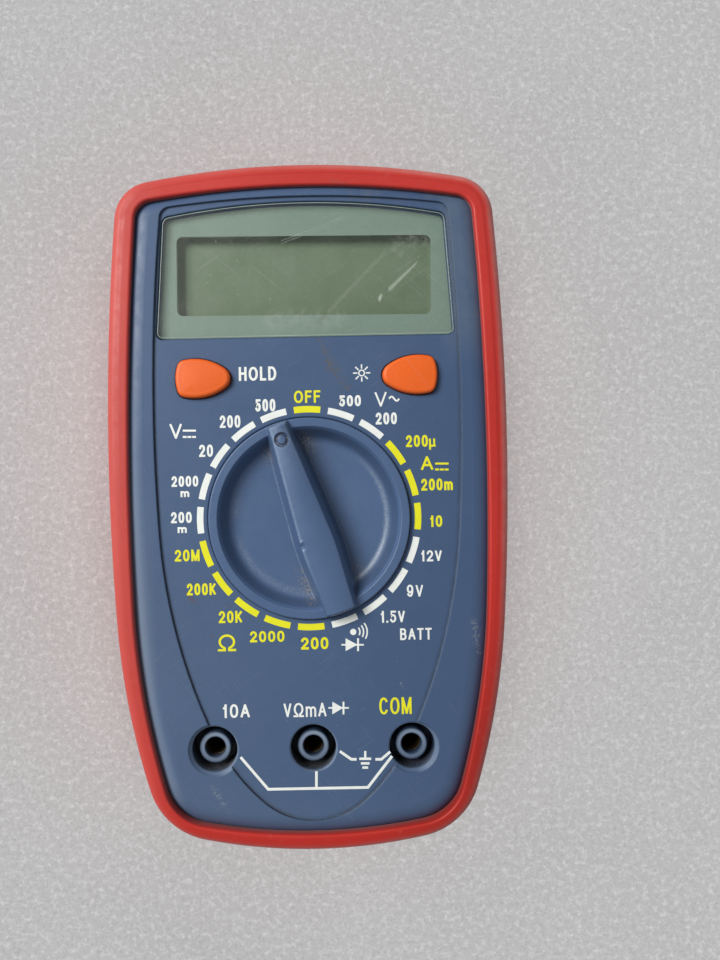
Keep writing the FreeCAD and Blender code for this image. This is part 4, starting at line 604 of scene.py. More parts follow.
def knob_wear_and_painted_light(g, col):
    # dust lines, and painted highlight arcs speckled with dust
    dust_and_sheen = g.attr("dust_and_sheen")
    grime = g.attr("grime")
    fleck = g.ramp(g.noise(3.8, 3.0, 0.8), 0.38, 0.62)
    soft = g.ramp(g.noise(1.0, 3.0, 0.6), 0.3, 0.7, 0.55, 1.0)
    col = g.mix(g.math("MULTIPLY", g.math("MULTIPLY", dust_and_sheen, fleck), soft), col, (0.30, 0.36, 0.41))
    # painted shade from the bowl walls, the bar's shadow and the ring round the pointer dot
    col = g.mix(g.math("MULTIPLY", g.attr("painted_shade"), 0.55), col, (0.022, 0.036, 0.066))
    # painted highlights on the bar's left edge, its tip and the rim's inner edge
    col = g.mix(g.math("MULTIPLY", g.attr("wear_and_highlight"), g.ramp(g.noise(0.9, 3.0, 0.6), 0.3, 0.6, 0.5, 1.0)), col,
                (0.22, 0.31, 0.44))
    fleck2 = g.ramp(g.noise(2.6, 4.0, 0.8), 0.50, 0.62)
    col = g.mix(g.math("MULTIPLY", g.math("MULTIPLY", grime, fleck2), 0.9), col, (0.34, 0.27, 0.15))
    pits = g.ramp(g.noise(3.0, 4.0, 0.8), 0.58, 0.68)
    return g.mix(g.math("MULTIPLY", g.math("MULTIPLY", grime, pits), 0.6), col, (0.05, 0.05, 0.05))


def lcd_tone_and_painted_light(g, col):
    x, y, z = g.sep()
    low = g.ramp(y, 52.0, 38.0, 0.0, 0.35)
    col = g.mix(low, col, (0.112, 0.160, 0.088))
    # lighter strip along the left end of the glass: painted light over the shadow of the printed border
    return g.mix(g.math("MULTIPLY", g.ramp(x, -22.5, -23.3), 0.45), col, (0.27, 0.33, 0.23))


M = {}
M["case"] = plastic("case_blue", (0.064, 0.112, 0.212), rough=0.46, var=0.05, grain=0.014, grain_scale=3.2,
                    bevel=0.38, dirt=0.45, scratch=0.10, speck=0.22, spec=0.36, extra=case_wear_and_painted_light)
M["knob"] = plastic("knob_blue", (0.075, 0.130, 0.250), rough=0.42, var=0.05, grain=0.012, grain_scale=3.6,
                    bevel=0, dirt=0.0, scratch=0.05, speck=0.10, extra=knob_wear_and_painted_light)
M["boot"] = rubber()
M["window"] = window_mat()
M["button"] = plastic("button_orange", (0.84, 0.128, 0.010), rough=0.46, var=0.05, grain=0.006, bevel=0,
                      dirt=0.0, scratch=0.08)
M["white_ink"] = paint("ink_white", (0.95, 0.98, 0.93))
M["yellow_ink"] = paint("ink_yellow", (0.90, 0.87, 0.012))
M["print_border"] = plastic("window_print_green", (0.200, 0.272, 0.224), rough=0.62, var=0.05, grain=0.004,
                            bevel=0, dirt=0, scratch=0.0, speck=0.3)
M["lcd"] = plastic("lcd_green", (0.150, 0.206, 0.128), rough=0.42, var=0.06, grain=0.002, grain_scale=1.2, bevel=0,
                   dirt=0.0, scratch=0.0, speck=0.3, extra=lcd_tone_and_painted_light)
# painted glint for the window's edge
M["glint"] = plastic("window_edge_glint", (0.34, 0.42, 0.38), rough=0.25, var=0.25, grain=0.004, bevel=0, dirt=0,
                     scratch=0, speck=0)
M["white_plastic"] = plastic("holder_white", (0.62, 0.64, 0.60), rough=0.5, dirt=0.1)
M["strip"] = plastic("contact_strip_rubber", (0.36, 0.26, 0.30), rough=0.7, grain=0.03)
M["switch"] = plastic("switch_black", (0.018, 0.018, 0.02), rough=0.45)
M["board"] = plastic("board_green", (0.02, 0.12, 0.045), rough=0.32, var=0.2, grain=0.01, dirt=0.0, scratch=0)
M["steel"] = metal("plated_steel", (0.58, 0.58, 0.57), rough=0.30)
M["spring"] = metal("spring_wire", (0.42, 0.43, 0.45), rough=0.28, bevel=0)
M["ball"] = metal("ball_chrome", (0.72, 0.72, 0.73), rough=0.12, brush=0.1, tarnish=0.08)
M["brass"] = metal("jack_brass", (0.40, 0.29, 0.14), rough=0.38, tarnish=0.75)
M["glass"] = window_mat("fuse_glass_clear", False)
M["battery"] = plastic("battery_wrap", (0.03, 0.03, 0.034), rough=0.3, var=0.2)
M["snap"] = plastic("snap_black", (0.012, 0.012, 0.013), rough=0.6)
M["lead_red"] = plastic("lead_red", (0.45, 0.012, 0.01), rough=0.4)
M["lead_black"] = plastic("lead_black", (0.012, 0.012, 0.013), rough=0.4)
M["component"] = plastic("component_lacquer", (0.06, 0.12, 0.28), rough=0.3, var=0.3)
M["trimmer"] = plastic("trimmer_blue", (0.02, 0.07, 0.30), rough=0.35)
M["label"] = plastic("label_film", (0.50, 0.52, 0.53), rough=0.35, var=0.04, scratch=0.4)

CARRY = {
    "front_cover": "case", "rear_cover": "case", "display_window": "window", "lcd_panel": "lcd",
    "lcd_holder": "white_plastic", "backlight_panel": "white_plastic", "backlight_leds": "white_plastic",
    "lcd_contact_strip": "strip", "hold_button": "button", "backlight_button": "button",
    "hold_switch_body": "switch", "backlight_switch_body": "switch", "hold_switch_plunger": "switch",
    "backlight_switch_plunger": "switch", "dial_knob": "knob", "wiper_contacts": "brass",
    "detent_ball_left": "ball", "detent_ball_right": "ball", "detent_spring_left": "spring",
    "detent_spring_right": "spring", "circuit_board": "board", "jack_contact_left": "brass",
    "jack_contact_middle": "brass", "jack_contact_right": "brass", "shunt_wire": "steel",
    "fuse_glass": "glass", "fuse_end_caps": "steel", "fuse_clips": "brass", "fuse_element": "steel",
    "battery_body": "battery", "battery_terminals": "steel", "battery_snap": "snap",
    "battery_lead_red": "lead_red", "battery_lead_black": "lead_black", "chip_blob": "switch",
    "capacitors": "component", "resistors": "component", "trimmer_pot": "trimmer",
    "buzzer_disc": "brass", "buzzer_leads": "lead_black", "case_screws": "steel",
    "board_screws": "steel", "rear_label": "label", "boot": "boot",
}
for node, key in CARRY.items():
    ob = NODES[node]
    ob.data.materials.clear()
    ob.data.materials.append(M[key])

# --------------------------------------------------------------- boot skin
out_p, out_n = outline(BOOT_TOP, BOOT, 0.0, 0.45)
lip_p, _ = outline(LIP_TOP, LIP, 0.0, 0.3, centre=DIAL)
d_in = np.array([ray_to(lip_p, p - n * 1.0, -n) + 1.0 for p, n in zip(out_p, out_n)])
yy = out_p[:, 1]
xx = out_p[:, 0]
fade = 0.30 + 0.70 * smooth(-42, 8, yy)            # step is clearer round the top, faint below
ridge = smooth(-20, -45, yy)                       # soft central ridge round the bottom
groove = np.zeros(len(out_p))
for yc in (22.0, 16.0, 10.0, 4.0, -2.0):
    t = np.clip(1 - ((yy - yc) / 1.35) ** 2, 0, 1)
    groove = np.maximum(groove, 0.4 * t * (abs(xx) > 34))


def ring(d, z):
    """Boot ring at inset d (array or number) and height z (array or number)."""
    d = np.broadcast_to(np.asarray(d, float), (len(out_p),))
    z = np.broadcast_to(np.asarray(z, float), (len(out_p),))
    q = out_p - out_n * d[:, None]
    return np.column_stack([q, z])


ZL = 32.2
BEAD = 2.0
loops, bead_sheen, crease_shade, edge = [], [], [], []


def push(d, z, r=0.0, s=0.0, e=0.0):
    loops.append(ring(d, z))
    for store, val in ((bead_sheen, r), (crease_shade, s), (edge, e)):
        store.append(np.broadcast_to(np.asarray(val, float), (len(out_p),)))


# rear rim, heel, side
for d, z in ((4.3, 1.35), (4.3, 0.5), (4.22, 0.22), (4.05, 0.06), (3.8, 0.0), (3.0, 0.0), (2.4, 0.0)):
    push(d, z)
for k in range(0, 9):
    a = math.radians(90.0 * k / 8)
    push(2.2 - 2.2 * math.sin(a), 2.2 - 2.2 * math.cos(a))
for z in [2.9, 4.3, 4.9, 5.3, 5.8, 7.0] + list(np.linspace(9, 23, 8)) + [24.2, 25.2, 25.7, 26.1, 26.6, 28.0, 29.4]:
    on = float(smooth(4.9, 5.9, z) * (1 - smooth(25.1, 26.1, z)))
    push(groove * on, z)


def lip_top(d):
    step = 0.10 * fade * smooth(2.5, 1.5, d)
    cre = 0.05 * fade * np.exp(-((d - 2.0) / 0.30) ** 2)
    mid = (d_in + 1.4) / 2
    cen = 0.10 * ridge * np.minimum(((d - mid) / 1.6) ** 2, 1.2)
    return ZL - 0.02 - step - cre - cen


# outer bead of the lip, with a paler painted sheen
for k in range(0, 13):
    a = math.radians(90.0 * k / 12)
    d = BEAD - BEAD * math.cos(a)
    top = lip_top(np.full(len(out_p), BEAD))
    push(d, top - BEAD + BEAD * math.sin(a), r=float(1.0 - smooth(1.0, 1.9, d)) * fade)
# the crease inside the bead, with painted shade
for d in (2.12, 2.26, 2.4, 2.6, 2.85):
    dd = np.minimum(d, d_in - 0.62 + (d - 2.85) * 0.15)
    push(dd, lip_top(dd), s=float(np.exp(-((d - 2.2) / 0.2) ** 2)) * fade)
for f in (0.25, 0.5, 0.75, 1.0):
    d = np.minimum(2.85, d_in - 0.62) * (1 - f) + (d_in - 0.5) * f
    push(d, lip_top(d))
# inner rounding of the lip, with painted shade growing toward the case
for k in range(1, 7):
    a = math.radians(90.0 * k / 6)
    push(d_in - 0.5 + 0.5 * math.sin(a), lip_top(d_in - 0.5) - 0.5 + 0.5 * math.cos(a), e=float(smooth(2.5, 6, k)))
# under the lip, following the crown of the cover, then down inside; this band carries painted shade
zc, dc, rc = 31.55 - 5.1, 1.7 + 5.1, 5.1
cosn = np.clip((dc - d_in) / rc, -1, 1)
phi0 = np.degrees(np.arccos(cosn))
for k in range(0, 9):
    ph = np.radians(phi0 * (1 - k / 8.0))
    push(dc - rc * np.cos(ph), zc + rc * np.sin(ph), e=1.0)
for z in (24.0, 16.0, 8.0):
    push(1.7, z)
for k in range(0, 6):
    a = math.radians(90.0 * k / 6)
    push(4.3 - 2.6 * math.cos(a), 3.95 - 2.6 * math.sin(a))
boot = loops_mesh("boot_skin", loops, M["boot"], closed_profile=True)
set_attr(boot, "bead_sheen", np.concatenate(bead_sheen))
set_attr(boot, "crease_shade", np.concatenate(crease_shade))
set_attr(boot, "edge", np.concatenate(edge))
fix_normals(boot)
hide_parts("boot")
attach(boot, "case")

# --------------------------------------------------------------- knob skin
POINT = math.radians(108.0)
BAR = np.array([(-21.3, 2.52), (-19.2, 2.6), (-12.0, 2.88), (-5.7, 3.12), (0.0, 2.8), (9.6, 2.12), (19.2, 1.45),
                (21.3, 1.38)])


def bar_half(u):
    """Half width of the finger bar's top, smooth along its length."""
    x, y = BAR[:, 0], BAR[:, 1]
    m = np.gradient(y, x)
    i = np.clip(np.searchsorted(x, u) - 1, 0, len(x) - 2)
    h = x[i + 1] - x[i]
    t = (u - x[i]) / h
    return (y[i] * (2 * t ** 3 - 3 * t ** 2 + 1) + m[i] * h * (t ** 3 - 2 * t ** 2 + t)
            + y[i + 1] * (3 * t ** 2 - 2 * t ** 3) + m[i + 1] * h * (t ** 3 - t ** 2))


def smin(a, b, k):
    h = np.clip(0.5 + 0.5 * (b - a) / k, 0, 1)
    return b * (1 - h) + a * h - k * h * (1 - h)


def smax(a, b, k):
    return -smin(-a, -b, k)


KR = 19.32
radii = np.concatenate([np.linspace(0.14, 12.6, 88), np.linspace(12.74, 17.1, 34), np.linspace(17.2, 18.0, 13),
                        np.linspace(18.15, 18.95, 7), [19.02, 19.08, 19.14, 19.2, 19.25, 19.29, 19.31, KR]])
NA = 800
ang = np.arange(NA) * 2 * math.pi / NA
R, A_ = np.meshgrid(radii, ang, indexing="ij")
X, Y = R * np.cos(A_), R * np.sin(A_)
U = X * math.cos(POINT) + Y * math.sin(POINT)
W = X * math.cos(POINT + math.pi / 2) + Y * math.sin(POINT + math.pi / 2)
hw = bar_half(U)
DRAFT_L, DRAFT_R = 1.45, 1.85
floor_z = 28.55 + 0.30 * (R / 15.0) ** 2
wall_z = 31.86 - (17.58 - R) * 1.42
bowl = smax(floor_z, wall_z, 1.3)
rim = np.full_like(R, 32.0)
base = smin(bowl, rim, 0.16)
base = np.where(R > 18.0, 32.0, base)
over = np.clip((R - (KR - 0.30)) / 0.30, 0, 1)
base -= 0.30 * (1 - np.sqrt(np.maximum(0, 1 - over ** 2)))
crown = 34.80 - 0.52 * (W / np.maximum(hw, 0.5)) ** 2 - 0.05 * smooth(4, 19, U)
slope_l, slope_r = 6.0 / DRAFT_L, 6.0 / DRAFT_R
lw = 34.52 - (W - hw) * slope_l
rw = 34.52 - (-W - hw) * slope_r
end = 32.0 + (KR - 0.06 - R) * 3.3
bar = smin(smin(crown, lw, 0.30), smin(rw, end, 0.4), 0.30)
H = smax(base, bar, 0.30)
# nick in the bar's left edge, and the ring round the pointer dot
nick = np.exp(-(((U + 4.5) / 0.50) ** 2 + ((W - 3.0) / 0.50) ** 2))
lipn = np.exp(-(((U + 3.7) / 0.30) ** 2 + ((W - 2.9) / 0.5) ** 2))
H = H - 0.60 * nick + 0.16 * lipn
dr = np.hypot(U - 15.75, W)
H = H - 0.46 * smooth(0.70, 1.0, dr) * (1 - smooth(1.18, 1.46, dr)) - 0.12 * (1 - smooth(0.7, 1.5, dr))
# pale dust lines at the foot of the bar's walls, and painted highlight arcs at the foot of the bowl walls, speckled
# with dust
base_l = np.exp(-((W - hw - DRAFT_L - 0.10) / 0.07) ** 2) * smooth(-16.5, -14, U) * (1 - smooth(12.5, 14.5, U))
base_r = np.exp(-((-W - hw - DRAFT_R - 0.10) / 0.07) ** 2) * smooth(-12, -9, U) * (1 - smooth(12.5, 14.5, U))
in_bowl = (R < 17.2) & (H < 31.6)
deg = (np.degrees(A_) + 180.0) % 360.0 - 180.0
arc_r = np.exp(-((R - 15.15) / 0.50) ** 2) * smooth(-75, -50, deg) * (1 - smooth(20, 62, deg))
arc_l = np.exp(-((R - 14.60) / 0.75) ** 2) * (smooth(-175, -150, deg) * (1 - smooth(-100, -80, deg))
                                             + 0.7 * smooth(150, 178, deg) * (deg > 0))
left = W > 0
dust_and_sheen = in_bowl * (1.0 * base_l + 1.0 * base_r + 0.85 * arc_r * (~left) + 0.45 * arc_l * left)
corner = lambda u, w, su, sw, amp: amp * np.exp(-(((U - u) / su) ** 2 + ((W - w) / sw) ** 2))
grime = in_bowl * (corner(-13.6, 3.9 + 0.9, 2.6, 0.9, 1.0) + corner(-11.0, 5.0, 2.8, 1.3, 0.45)
                   + corner(14.0, 3.4, 1.7, 1.2, 0.8) + corner(13.8, -4.3, 2.2, 1.6, 0.8)
                   + corner(-12.6, -5.6, 1.6, 1.2, 0.7))
pointer_dirt = np.exp(-((dr - 1.05) / 0.3) ** 2) * 0.7
grime = np.clip(grime + pointer_dirt, 0, 1)
verts = [(0.0, DIAL[1], float(34.80))]
grid = np.stack([X + DIAL[0], Y + DIAL[1], H], -1).reshape(-1, 3)
verts += [tuple(v) for v in grid]
nr = len(radii)
extra_rings = [(KR, 30.6), (KR, 28.52), (21.0, 28.5), (21.8, 28.42), (21.8, 24.36), (21.7, 24.3), (1.95, 24.3),
               (1.95, 20.8), (1.7, 20.5)]
for r_, z_ in extra_rings:
    verts += [(r_ * math.cos(a) + DIAL[0], r_ * math.sin(a) + DIAL[1], z_) for a in ang]
verts.append((0.0, DIAL[1], 20.5))
faces = [(0, 1 + j, 1 + (j + 1) % NA) for j in range(NA)]
for i in range(nr + len(extra_rings) - 1):
    a, b = 1 + i * NA, 1 + (i + 1) * NA
    faces += [(a + j, b + j, b + (j + 1) % NA, a + (j + 1) % NA) for j in range(NA)]
a, last = 1 + (nr + len(extra_rings) - 1) * NA, len(verts) - 1
faces += [(a + j, last, a + (j + 1) % NA) for j in range(NA)]
knob = make_mesh("dial_skin", np.array(verts) * MM, faces, M["knob"], True)
pad0 = np.zeros(len(extra_rings) * NA + 1)
set_attr(knob, "dust_and_sheen", np.concatenate([[0.0], np.clip(dust_and_sheen, 0, 1).ravel(), pad0]))
# painted shade on the bowl walls, painted shadow of the bar on the floor beside it, and painted shade on the left floor
# and in the ring round the pointer dot
painted_shade = in_bowl * smooth(15.2, 16.2, R) * (1 - smooth(17.2, 17.6, R)) * 0.75
beside = np.clip(-W - hw - 0.6, 0, 20)
painted_shade = painted_shade + 0.75 * in_bowl * (W < 0) * np.exp(-(beside / 3.0) ** 2) * smooth(-15.5, -9.0, U)
painted_shade = painted_shade + 0.30 * in_bowl * (W < 0) * smooth(8.0, 15.0, U) * (1 - smooth(8.0, 12.0, -W))
painted_shade = painted_shade + 0.35 * in_bowl * (W > 0) * smooth(11.5, 15.5, R) * (1 - smooth(15.5, 16.5, R)) * smooth(-4.0, 6.0, U)
painted_shade = np.clip(painted_shade + smooth(0.75, 0.95, dr) * (1 - smooth(1.25, 1.5, dr)) * 1.2, 0, 1)
# painted highlights along the bar's lit left edge, on the bar tip and on the rim's inner edge
wear_and_highlight = (np.exp(-((W - hw + 0.12) / 0.26) ** 2) * smooth(-16.5, -2.0, U) * (H > 34.0)
        + 0.55 * (H > 33.4) * smooth(5.0, 17.5, U) * (1 - smooth(0.8, 1.6, np.abs(dr - 0.9) * 0 + (dr < 1.5) * 2))
        + 0.35 * np.exp(-((H - 32.0) / 0.05) ** 2) * np.exp(-((R - 17.62) / 0.10) ** 2))
set_attr(knob, "painted_shade", np.concatenate([[0.0], painted_shade.ravel(), pad0]))
set_attr(knob, "wear_and_highlight", np.concatenate([[0.0], np.clip(0.6 * wear_and_highlight, 0, 1).ravel(), pad0]))
set_attr(knob, "grime", np.concatenate([[0.0], grime.ravel(), pad0]))
knob.data.set_sharp_from_angle(angle=math.radians(60))
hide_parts("dial_knob")
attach(knob, "dial")

# ------------------------------------------------------------- button skins
for nm, sx in (("hold_button", -1), ("backlight_button", 1)):
    bx, by = sx * 19.85, 25.0
    rings, lo_p = [], None
    for d, z in ((-0.9, 27.6), (-0.9, 28.5), (0.0, 28.5), (0.0, 31.6), (0.02, 31.78), (0.08, 31.95), (0.17, 32.09),
                 (0.29, 32.2), (0.44, 32.28), (0.60, 32.325), (0.74, 32.335), (0.9, 32.335)):
        q, _ = outline(BUTTON_TOP, BUTTON, -d, 0.16, centre=(bx, by), rot=-90.0 * sx)
        if lo_p is not None and len(q) != lo_p:
            t = np.linspace(0, 1, len(q), endpoint=False)
            t2 = np.linspace(0, 1, lo_p, endpoint=False)
            qq = np.vstack([q, q[:1]])
            tt = np.linspace(0, 1, len(q) + 1)
            q = np.column_stack([np.interp(t2, tt, qq[:, 0]), np.interp(t2, tt, qq[:, 1])])
        lo_p = len(q)
        rings.append(np.column_stack([q, np.full(len(q), z)]))
    rim_ = rings[-1][:, :2]
    mid = rim_.mean(0)
    for f in (0.93, 0.84, 0.72, 0.58, 0.43, 0.28, 0.14, 0.05):
        rings.append(np.column_stack([mid + (rim_ - mid) * f, np.full(lo_p, 32.335 + 0.15 * (1 - f ** 2))]))
    ob = loops_mesh(nm + "_skin", rings, M["button"], cap=(True, True))
    fix_normals(ob)
    ob.data.set_sharp_from_angle(angle=math.radians(50))
    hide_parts(nm)
    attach(ob, nm + "_body")

# ------------------------------------------------------ printed window back
win_p, _ = outline(WINDOW_TOP, WINDOW, -0.35, 0.35, centre=DIAL)


def rounded_rect(cx, cy, w, h, r, n=8):
    pts = []
    for sx, sy, a0 in ((1, 1, 0), (-1, 1, 90), (-1, -1, 180), (1, -1, 270)):
        for k in range(n + 1):
            c, s = unit(a0 + 90.0 * k / n)
            pts.append((cx + sx * (w / 2 - r) + r * c, cy + sy * (h / 2 - r) + r * s))
    return np.array(pts)


def turned(p, deg):
    c, q = math.cos(math.radians(deg)), math.sin(math.radians(deg))
    m = p.mean(axis=0)
    return (p - m) @ np.array([[c, q], [-q, c]]) + m


def plate_with_hole(name, outer, inner, centre, z0, z1, mat):
    ang = np.unique(np.round(np.concatenate([
        np.arctan2(outer[:, 1] - centre[1], outer[:, 0] - centre[0]),
        np.arctan2(inner[:, 1] - centre[1], inner[:, 0] - centre[0])]), 5))
    c = np.array(centre)
    o, i = [], []
    for a in ang:
        d = np.array([math.cos(a), math.sin(a)])
        o.append(c + d * ray_to(outer, c, d))
        i.append(c + d * ray_to(inner, c, d))
    o, i = np.array(o), np.array(i)
    n = len(ang)
    col = lambda p, z: np.column_stack([p, np.full(n, z)])
    ob = loops_mesh(name, [col(o, z0), col(o, z1), col(i, z1), col(i, z0)], mat, closed_profile=True, angle=30)
    fix_normals(ob)
    return ob


LCD_C = (0.0, 44.8)
border = plate_with_hole("window_print", win_p, turned(rounded_rect(-0.15, 44.95, 49.4, 15.4, 1.2), -0.6),
                         LCD_C, 29.51, 29.57, M["print_border"])
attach(border, "case")
# a pale band just inside the window's outline: a painted glint along its bevel
g0, _ = outline(WINDOW_TOP, WINDOW, -0.24, 0.3, centre=DIAL)
g1, _ = outline(WINDOW_TOP, WINDOW, -0.37, 0.3, centre=DIAL)
nn = min(len(g0), len(g1))


def resample(q, n):
    t = np.linspace(0, 1, n, endpoint=False)
    seg = np.linalg.norm(np.roll(q, -1, axis=0) - q, axis=1)
    c = np.concatenate([[0], np.cumsum(seg)]) / seg.sum()
    qq = np.vstack([q, q[:1]])
    return np.column_stack([np.interp(t, c, qq[:, 0]), np.interp(t, c, qq[:, 1])])


g0, g1 = resample(g0, 420), resample(g1, 420)
lvl = lambda q, z: np.column_stack([q, np.full(len(q), z)])
glint = loops_mesh("window_edge", [lvl(g0, 31.0), lvl(g0, 31.015), lvl(g1, 31.03), lvl(g1, 31.0)], M["glint"],
                   closed_profile=True)
fix_normals(glint)
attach(glint, "case")

# ------------------------------------------------------------------ legends
Z_INK = 31.005
INK = 0.02


def arc_pts(cx, cy, rx, ry, a0, a1, n=14, e=2.0):
    out = []
    for k in range(n + 1):
        a = math.radians(a0 + (a1 - a0) * k / n)
        c, q = math.cos(a), math.sin(a)
        out.append((cx + rx * math.copysign(abs(c) ** (2 / e), c), cy + ry * math.copysign(abs(q) ** (2 / e), q)))
    return out


# letter: (width over height, height over cap height, strokes on the centre line in a unit box, True if closed)
LETTERS = {
    "0": (0.56, 1, [(arc_pts(.5, .5, .5, .5, 0, 345, 23, 2.35), True)]),
    "1": (0.36, 1, [([(.72, 0), (.72, 1)], False), ([(.72, .96), (.50, .80), (.10, .74)], False)]),
    "2": (0.56, 1, [(arc_pts(.5, .71, .48, .29, 176, -30, 14) + [(.72, .44), (.30, .20), (.06, .0)], False),
                    ([(0, 0), (1, 0)], False)]),
    "5": (0.56, 1, [([(.93, 1), (.17, 1), (.05, .50)] + arc_pts(.48, .33, .50, .33, 138, -160, 18), False)]),
    "9": (0.56, 1, [(arc_pts(.5, .67, .5, .33, 0, 342, 19), True),
                    ([(1, .67), (1, .52), (.96, .33), (.85, .14), (.66, .02), (.42, 0), (.18, .06), (.05, .20)], False)]),
    "K": (0.60, 1, [([(0, 0), (0, 1)], False), ([(1, 1), (0, .34)], False), ([(.33, .56), (1, 0)], False)]),
    "M": (0.72, 1, [([(0, 0), (0, 1)], False), ([(.03, 1), (.5, 0)], False), ([(.5, 0), (.97, 1)], False),
                    ([(1, 1), (1, 0)], False)]),
    "m": (0.80, .74, [([(0, 0), (0, 1)], False), (arc_pts(.25, .70, .25, .30, 180, 0, 10) + [(.5, 0)], False),
                      (arc_pts(.75, .70, .25, .30, 180, 0, 10) + [(1, 0)], False)]),
    "V": (0.60, 1, [([(0, 1), (.5, 0)], False), ([(.5, 0), (1, 1)], False)]),
    "A": (0.64, 1, [([(0, 0), (.5, 1)], False), ([(.5, 1), (1, 0)], False), ([(.20, .34), (.80, .34)], False)]),
    "F": (0.50, 1, [([(0, 0), (0, 1), (1, 1)], False), ([(0, .52), (.86, .52)], False)]),
    "H": (0.58, 1, [([(0, 0), (0, 1)], False), ([(1, 0), (1, 1)], False), ([(0, .53), (1, .53)], False)]),
    "O": (0.68, 1, [(arc_pts(.5, .5, .5, .5, 0, 345, 23, 2.15), True)]),
    "C": (0.64, 1, [(arc_pts(.52, .5, .52, .5, 36, 324, 24, 2.15), False)]),
    "L": (0.46, 1, [([(0, 1), (0, 0), (1, 0)], False)]),
    "D": (0.60, 1, [([(0, 0), (0, 1)] + arc_pts(.42, .5, .58, .5, 90, -90, 16), True)]),
    "B": (0.56, 1, [([(0, .53), (0, 1)] + arc_pts(.56, .765, .36, .235, 90, -90, 10), True),
                    ([(0, 0), (0, .53)] + arc_pts(.58, .265, .42, .265, 90, -90, 10), True)]),
    "T": (0.56, 1, [([(0, 1), (1, 1)], False), ([(.5, 1), (.5, 0)], False)]),
    "\u03a9": (0.80, 1, [([(0, 0), (.36, 0), (.36, .12)] + arc_pts(.5, .565, .45, .435, 246, -66, 22)
                        + [(.64, .12), (.64, 0), (1, 0)], False)]),
    "\u00b5": (0.46, 1, [([(0, 0), (0, 1)], False), (arc_pts(.42, .52, .42, .22, 180, 360, 10) + [(.84, 1)], False),
                         ([(.84, 1), (.84, .40), (1, .29)], False)]),
    ".": (0.0, 0, [([(0, -.5), (0, .5)], False)]),
}


def ribbon(store, pts, w, closed=False, z=Z_INK):
    """One closed thin band of width w along a path, mitred at its corners."""
    pts = [np.array(q, float) for q in pts]
    keep = [pts[0]]
    for q in pts[1:]:
        if np.linalg.norm(q - keep[-1]) > 1e-4:
            keep.append(q)
    pts = keep
    n = len(pts)
    left, right = [], []
    for i in range(n):
        prev = pts[i - 1] if (i or closed) else None
        nxt = pts[(i + 1) % n] if (i < n - 1 or closed) else None
        d0 = pts[i] - prev if prev is not None else nxt - pts[i]
        d1 = nxt - pts[i] if nxt is not None else d0
        d0, d1 = d0 / np.linalg.norm(d0), d1 / np.linalg.norm(d1)
        n0, n1 = np.array((-d0[1], d0[0])), np.array((-d1[1], d1[0]))
        m = n0 + n1
        m = n0 if np.linalg.norm(m) < 1e-6 else m / np.linalg.norm(m)
        k = w / 2 / max(0.55, float(m @ n0))
        left.append(pts[i] + m * k)
        right.append(pts[i] - m * k)
    ring_ = []
    for q in left + right:
        ring_.append((q[0] * MM, q[1] * MM, z * MM))
    for q in left + right:
        ring_.append((q[0] * MM, q[1] * MM, (z + INK) * MM))
    L0, R0, L1, R1 = 0, n, 2 * n, 3 * n
    f = []
    for i in range(n if closed else n - 1):
        k = (i + 1) % n
        f.append((L1 + i, R1 + i, R1 + k, L1 + k))
        f.append((L0 + i, L0 + k, R0 + k, R0 + i))
        f.append((L0 + i, L1 + i, L1 + k, L0 + k))
        f.append((R0 + i, R0 + k, R1 + k, R1 + i))
    if not closed:
        f.append((L0, R0, R1, L1))
        f.append((L0 + n - 1, L1 + n - 1, R1 + n - 1, R0 + n - 1))
    add(store, ring_, f)


def word(store, text, x0, x1, y0, y1, t):
    """Letters of stroke width t (mm) fitted to a box on the face."""
    h = y1 - y0
    widths = [t if ch == "." else LETTERS[ch][0] * h for ch in text]
    gap = 0.150 * h
    free = sum(w for w, ch in zip(widths, text) if ch != ".") + gap * (len(text) - 1)
    k = (x1 - x0 - t * text.count(".")) / free
    x = x0
    for w, ch in zip(widths, text):
        w = w if ch == "." else w * k
        hh = h * LETTERS[ch][1] if ch != "." else t
        for lift, (pts, closed) in enumerate(LETTERS[ch][2]):
            if ch == ".":
                pts = [(x + t / 2, y0), (x + t / 2, y0 + t)]
            else:
                top = max(hh - t, 0.01)
                pts = [(x + t / 2 + px * (w - t), y0 + t / 2 + py * top) for px, py in pts]
                # straight ends run out to the box, not half a stroke short of it
                if not closed:
                    ends = []
                    for a, b, end in ((0, 1, 0), (-1, -2, -1)):
                        q, r_ = np.array(pts[a]), np.array(pts[b])
                        d = (q - r_) / max(1e-6, np.linalg.norm(q - r_))
                        ends.append(tuple(q + d * t / 2 * (1.0 if abs(d[0]) < 0.05 or abs(d[1]) < 0.05 else 0.6)))
                    pts[0], pts[-1] = ends
            ribbon(store, pts, t, closed, Z_INK + 0.006 * lift)
        x += w + gap * k


WHITE, YELLOW = [[], []], [[], []]


def add(store, verts, faces):
    base = len(store[0])
    store[0].extend([tuple(v) for v in verts])
    store[1].extend([tuple(base + i for i in f) for f in faces])


def text_px(store, text, ox, oy, sc, x0, x1, y0, y1, weight=0.37):
    """Legend whose box is given in a magnified view: origin, scale, box."""
    ax, ay = row(ox + (x0 + x1) / 2 / sc, oy + (y0 + y1) / 2 / sc)
    w, h = (x1 - x0) / sc / 5.195, (y1 - y0) / sc / 5.195
    word(store, text, ax - w / 2, ax + w / 2, ay - h / 2, ay + h / 2, weight)


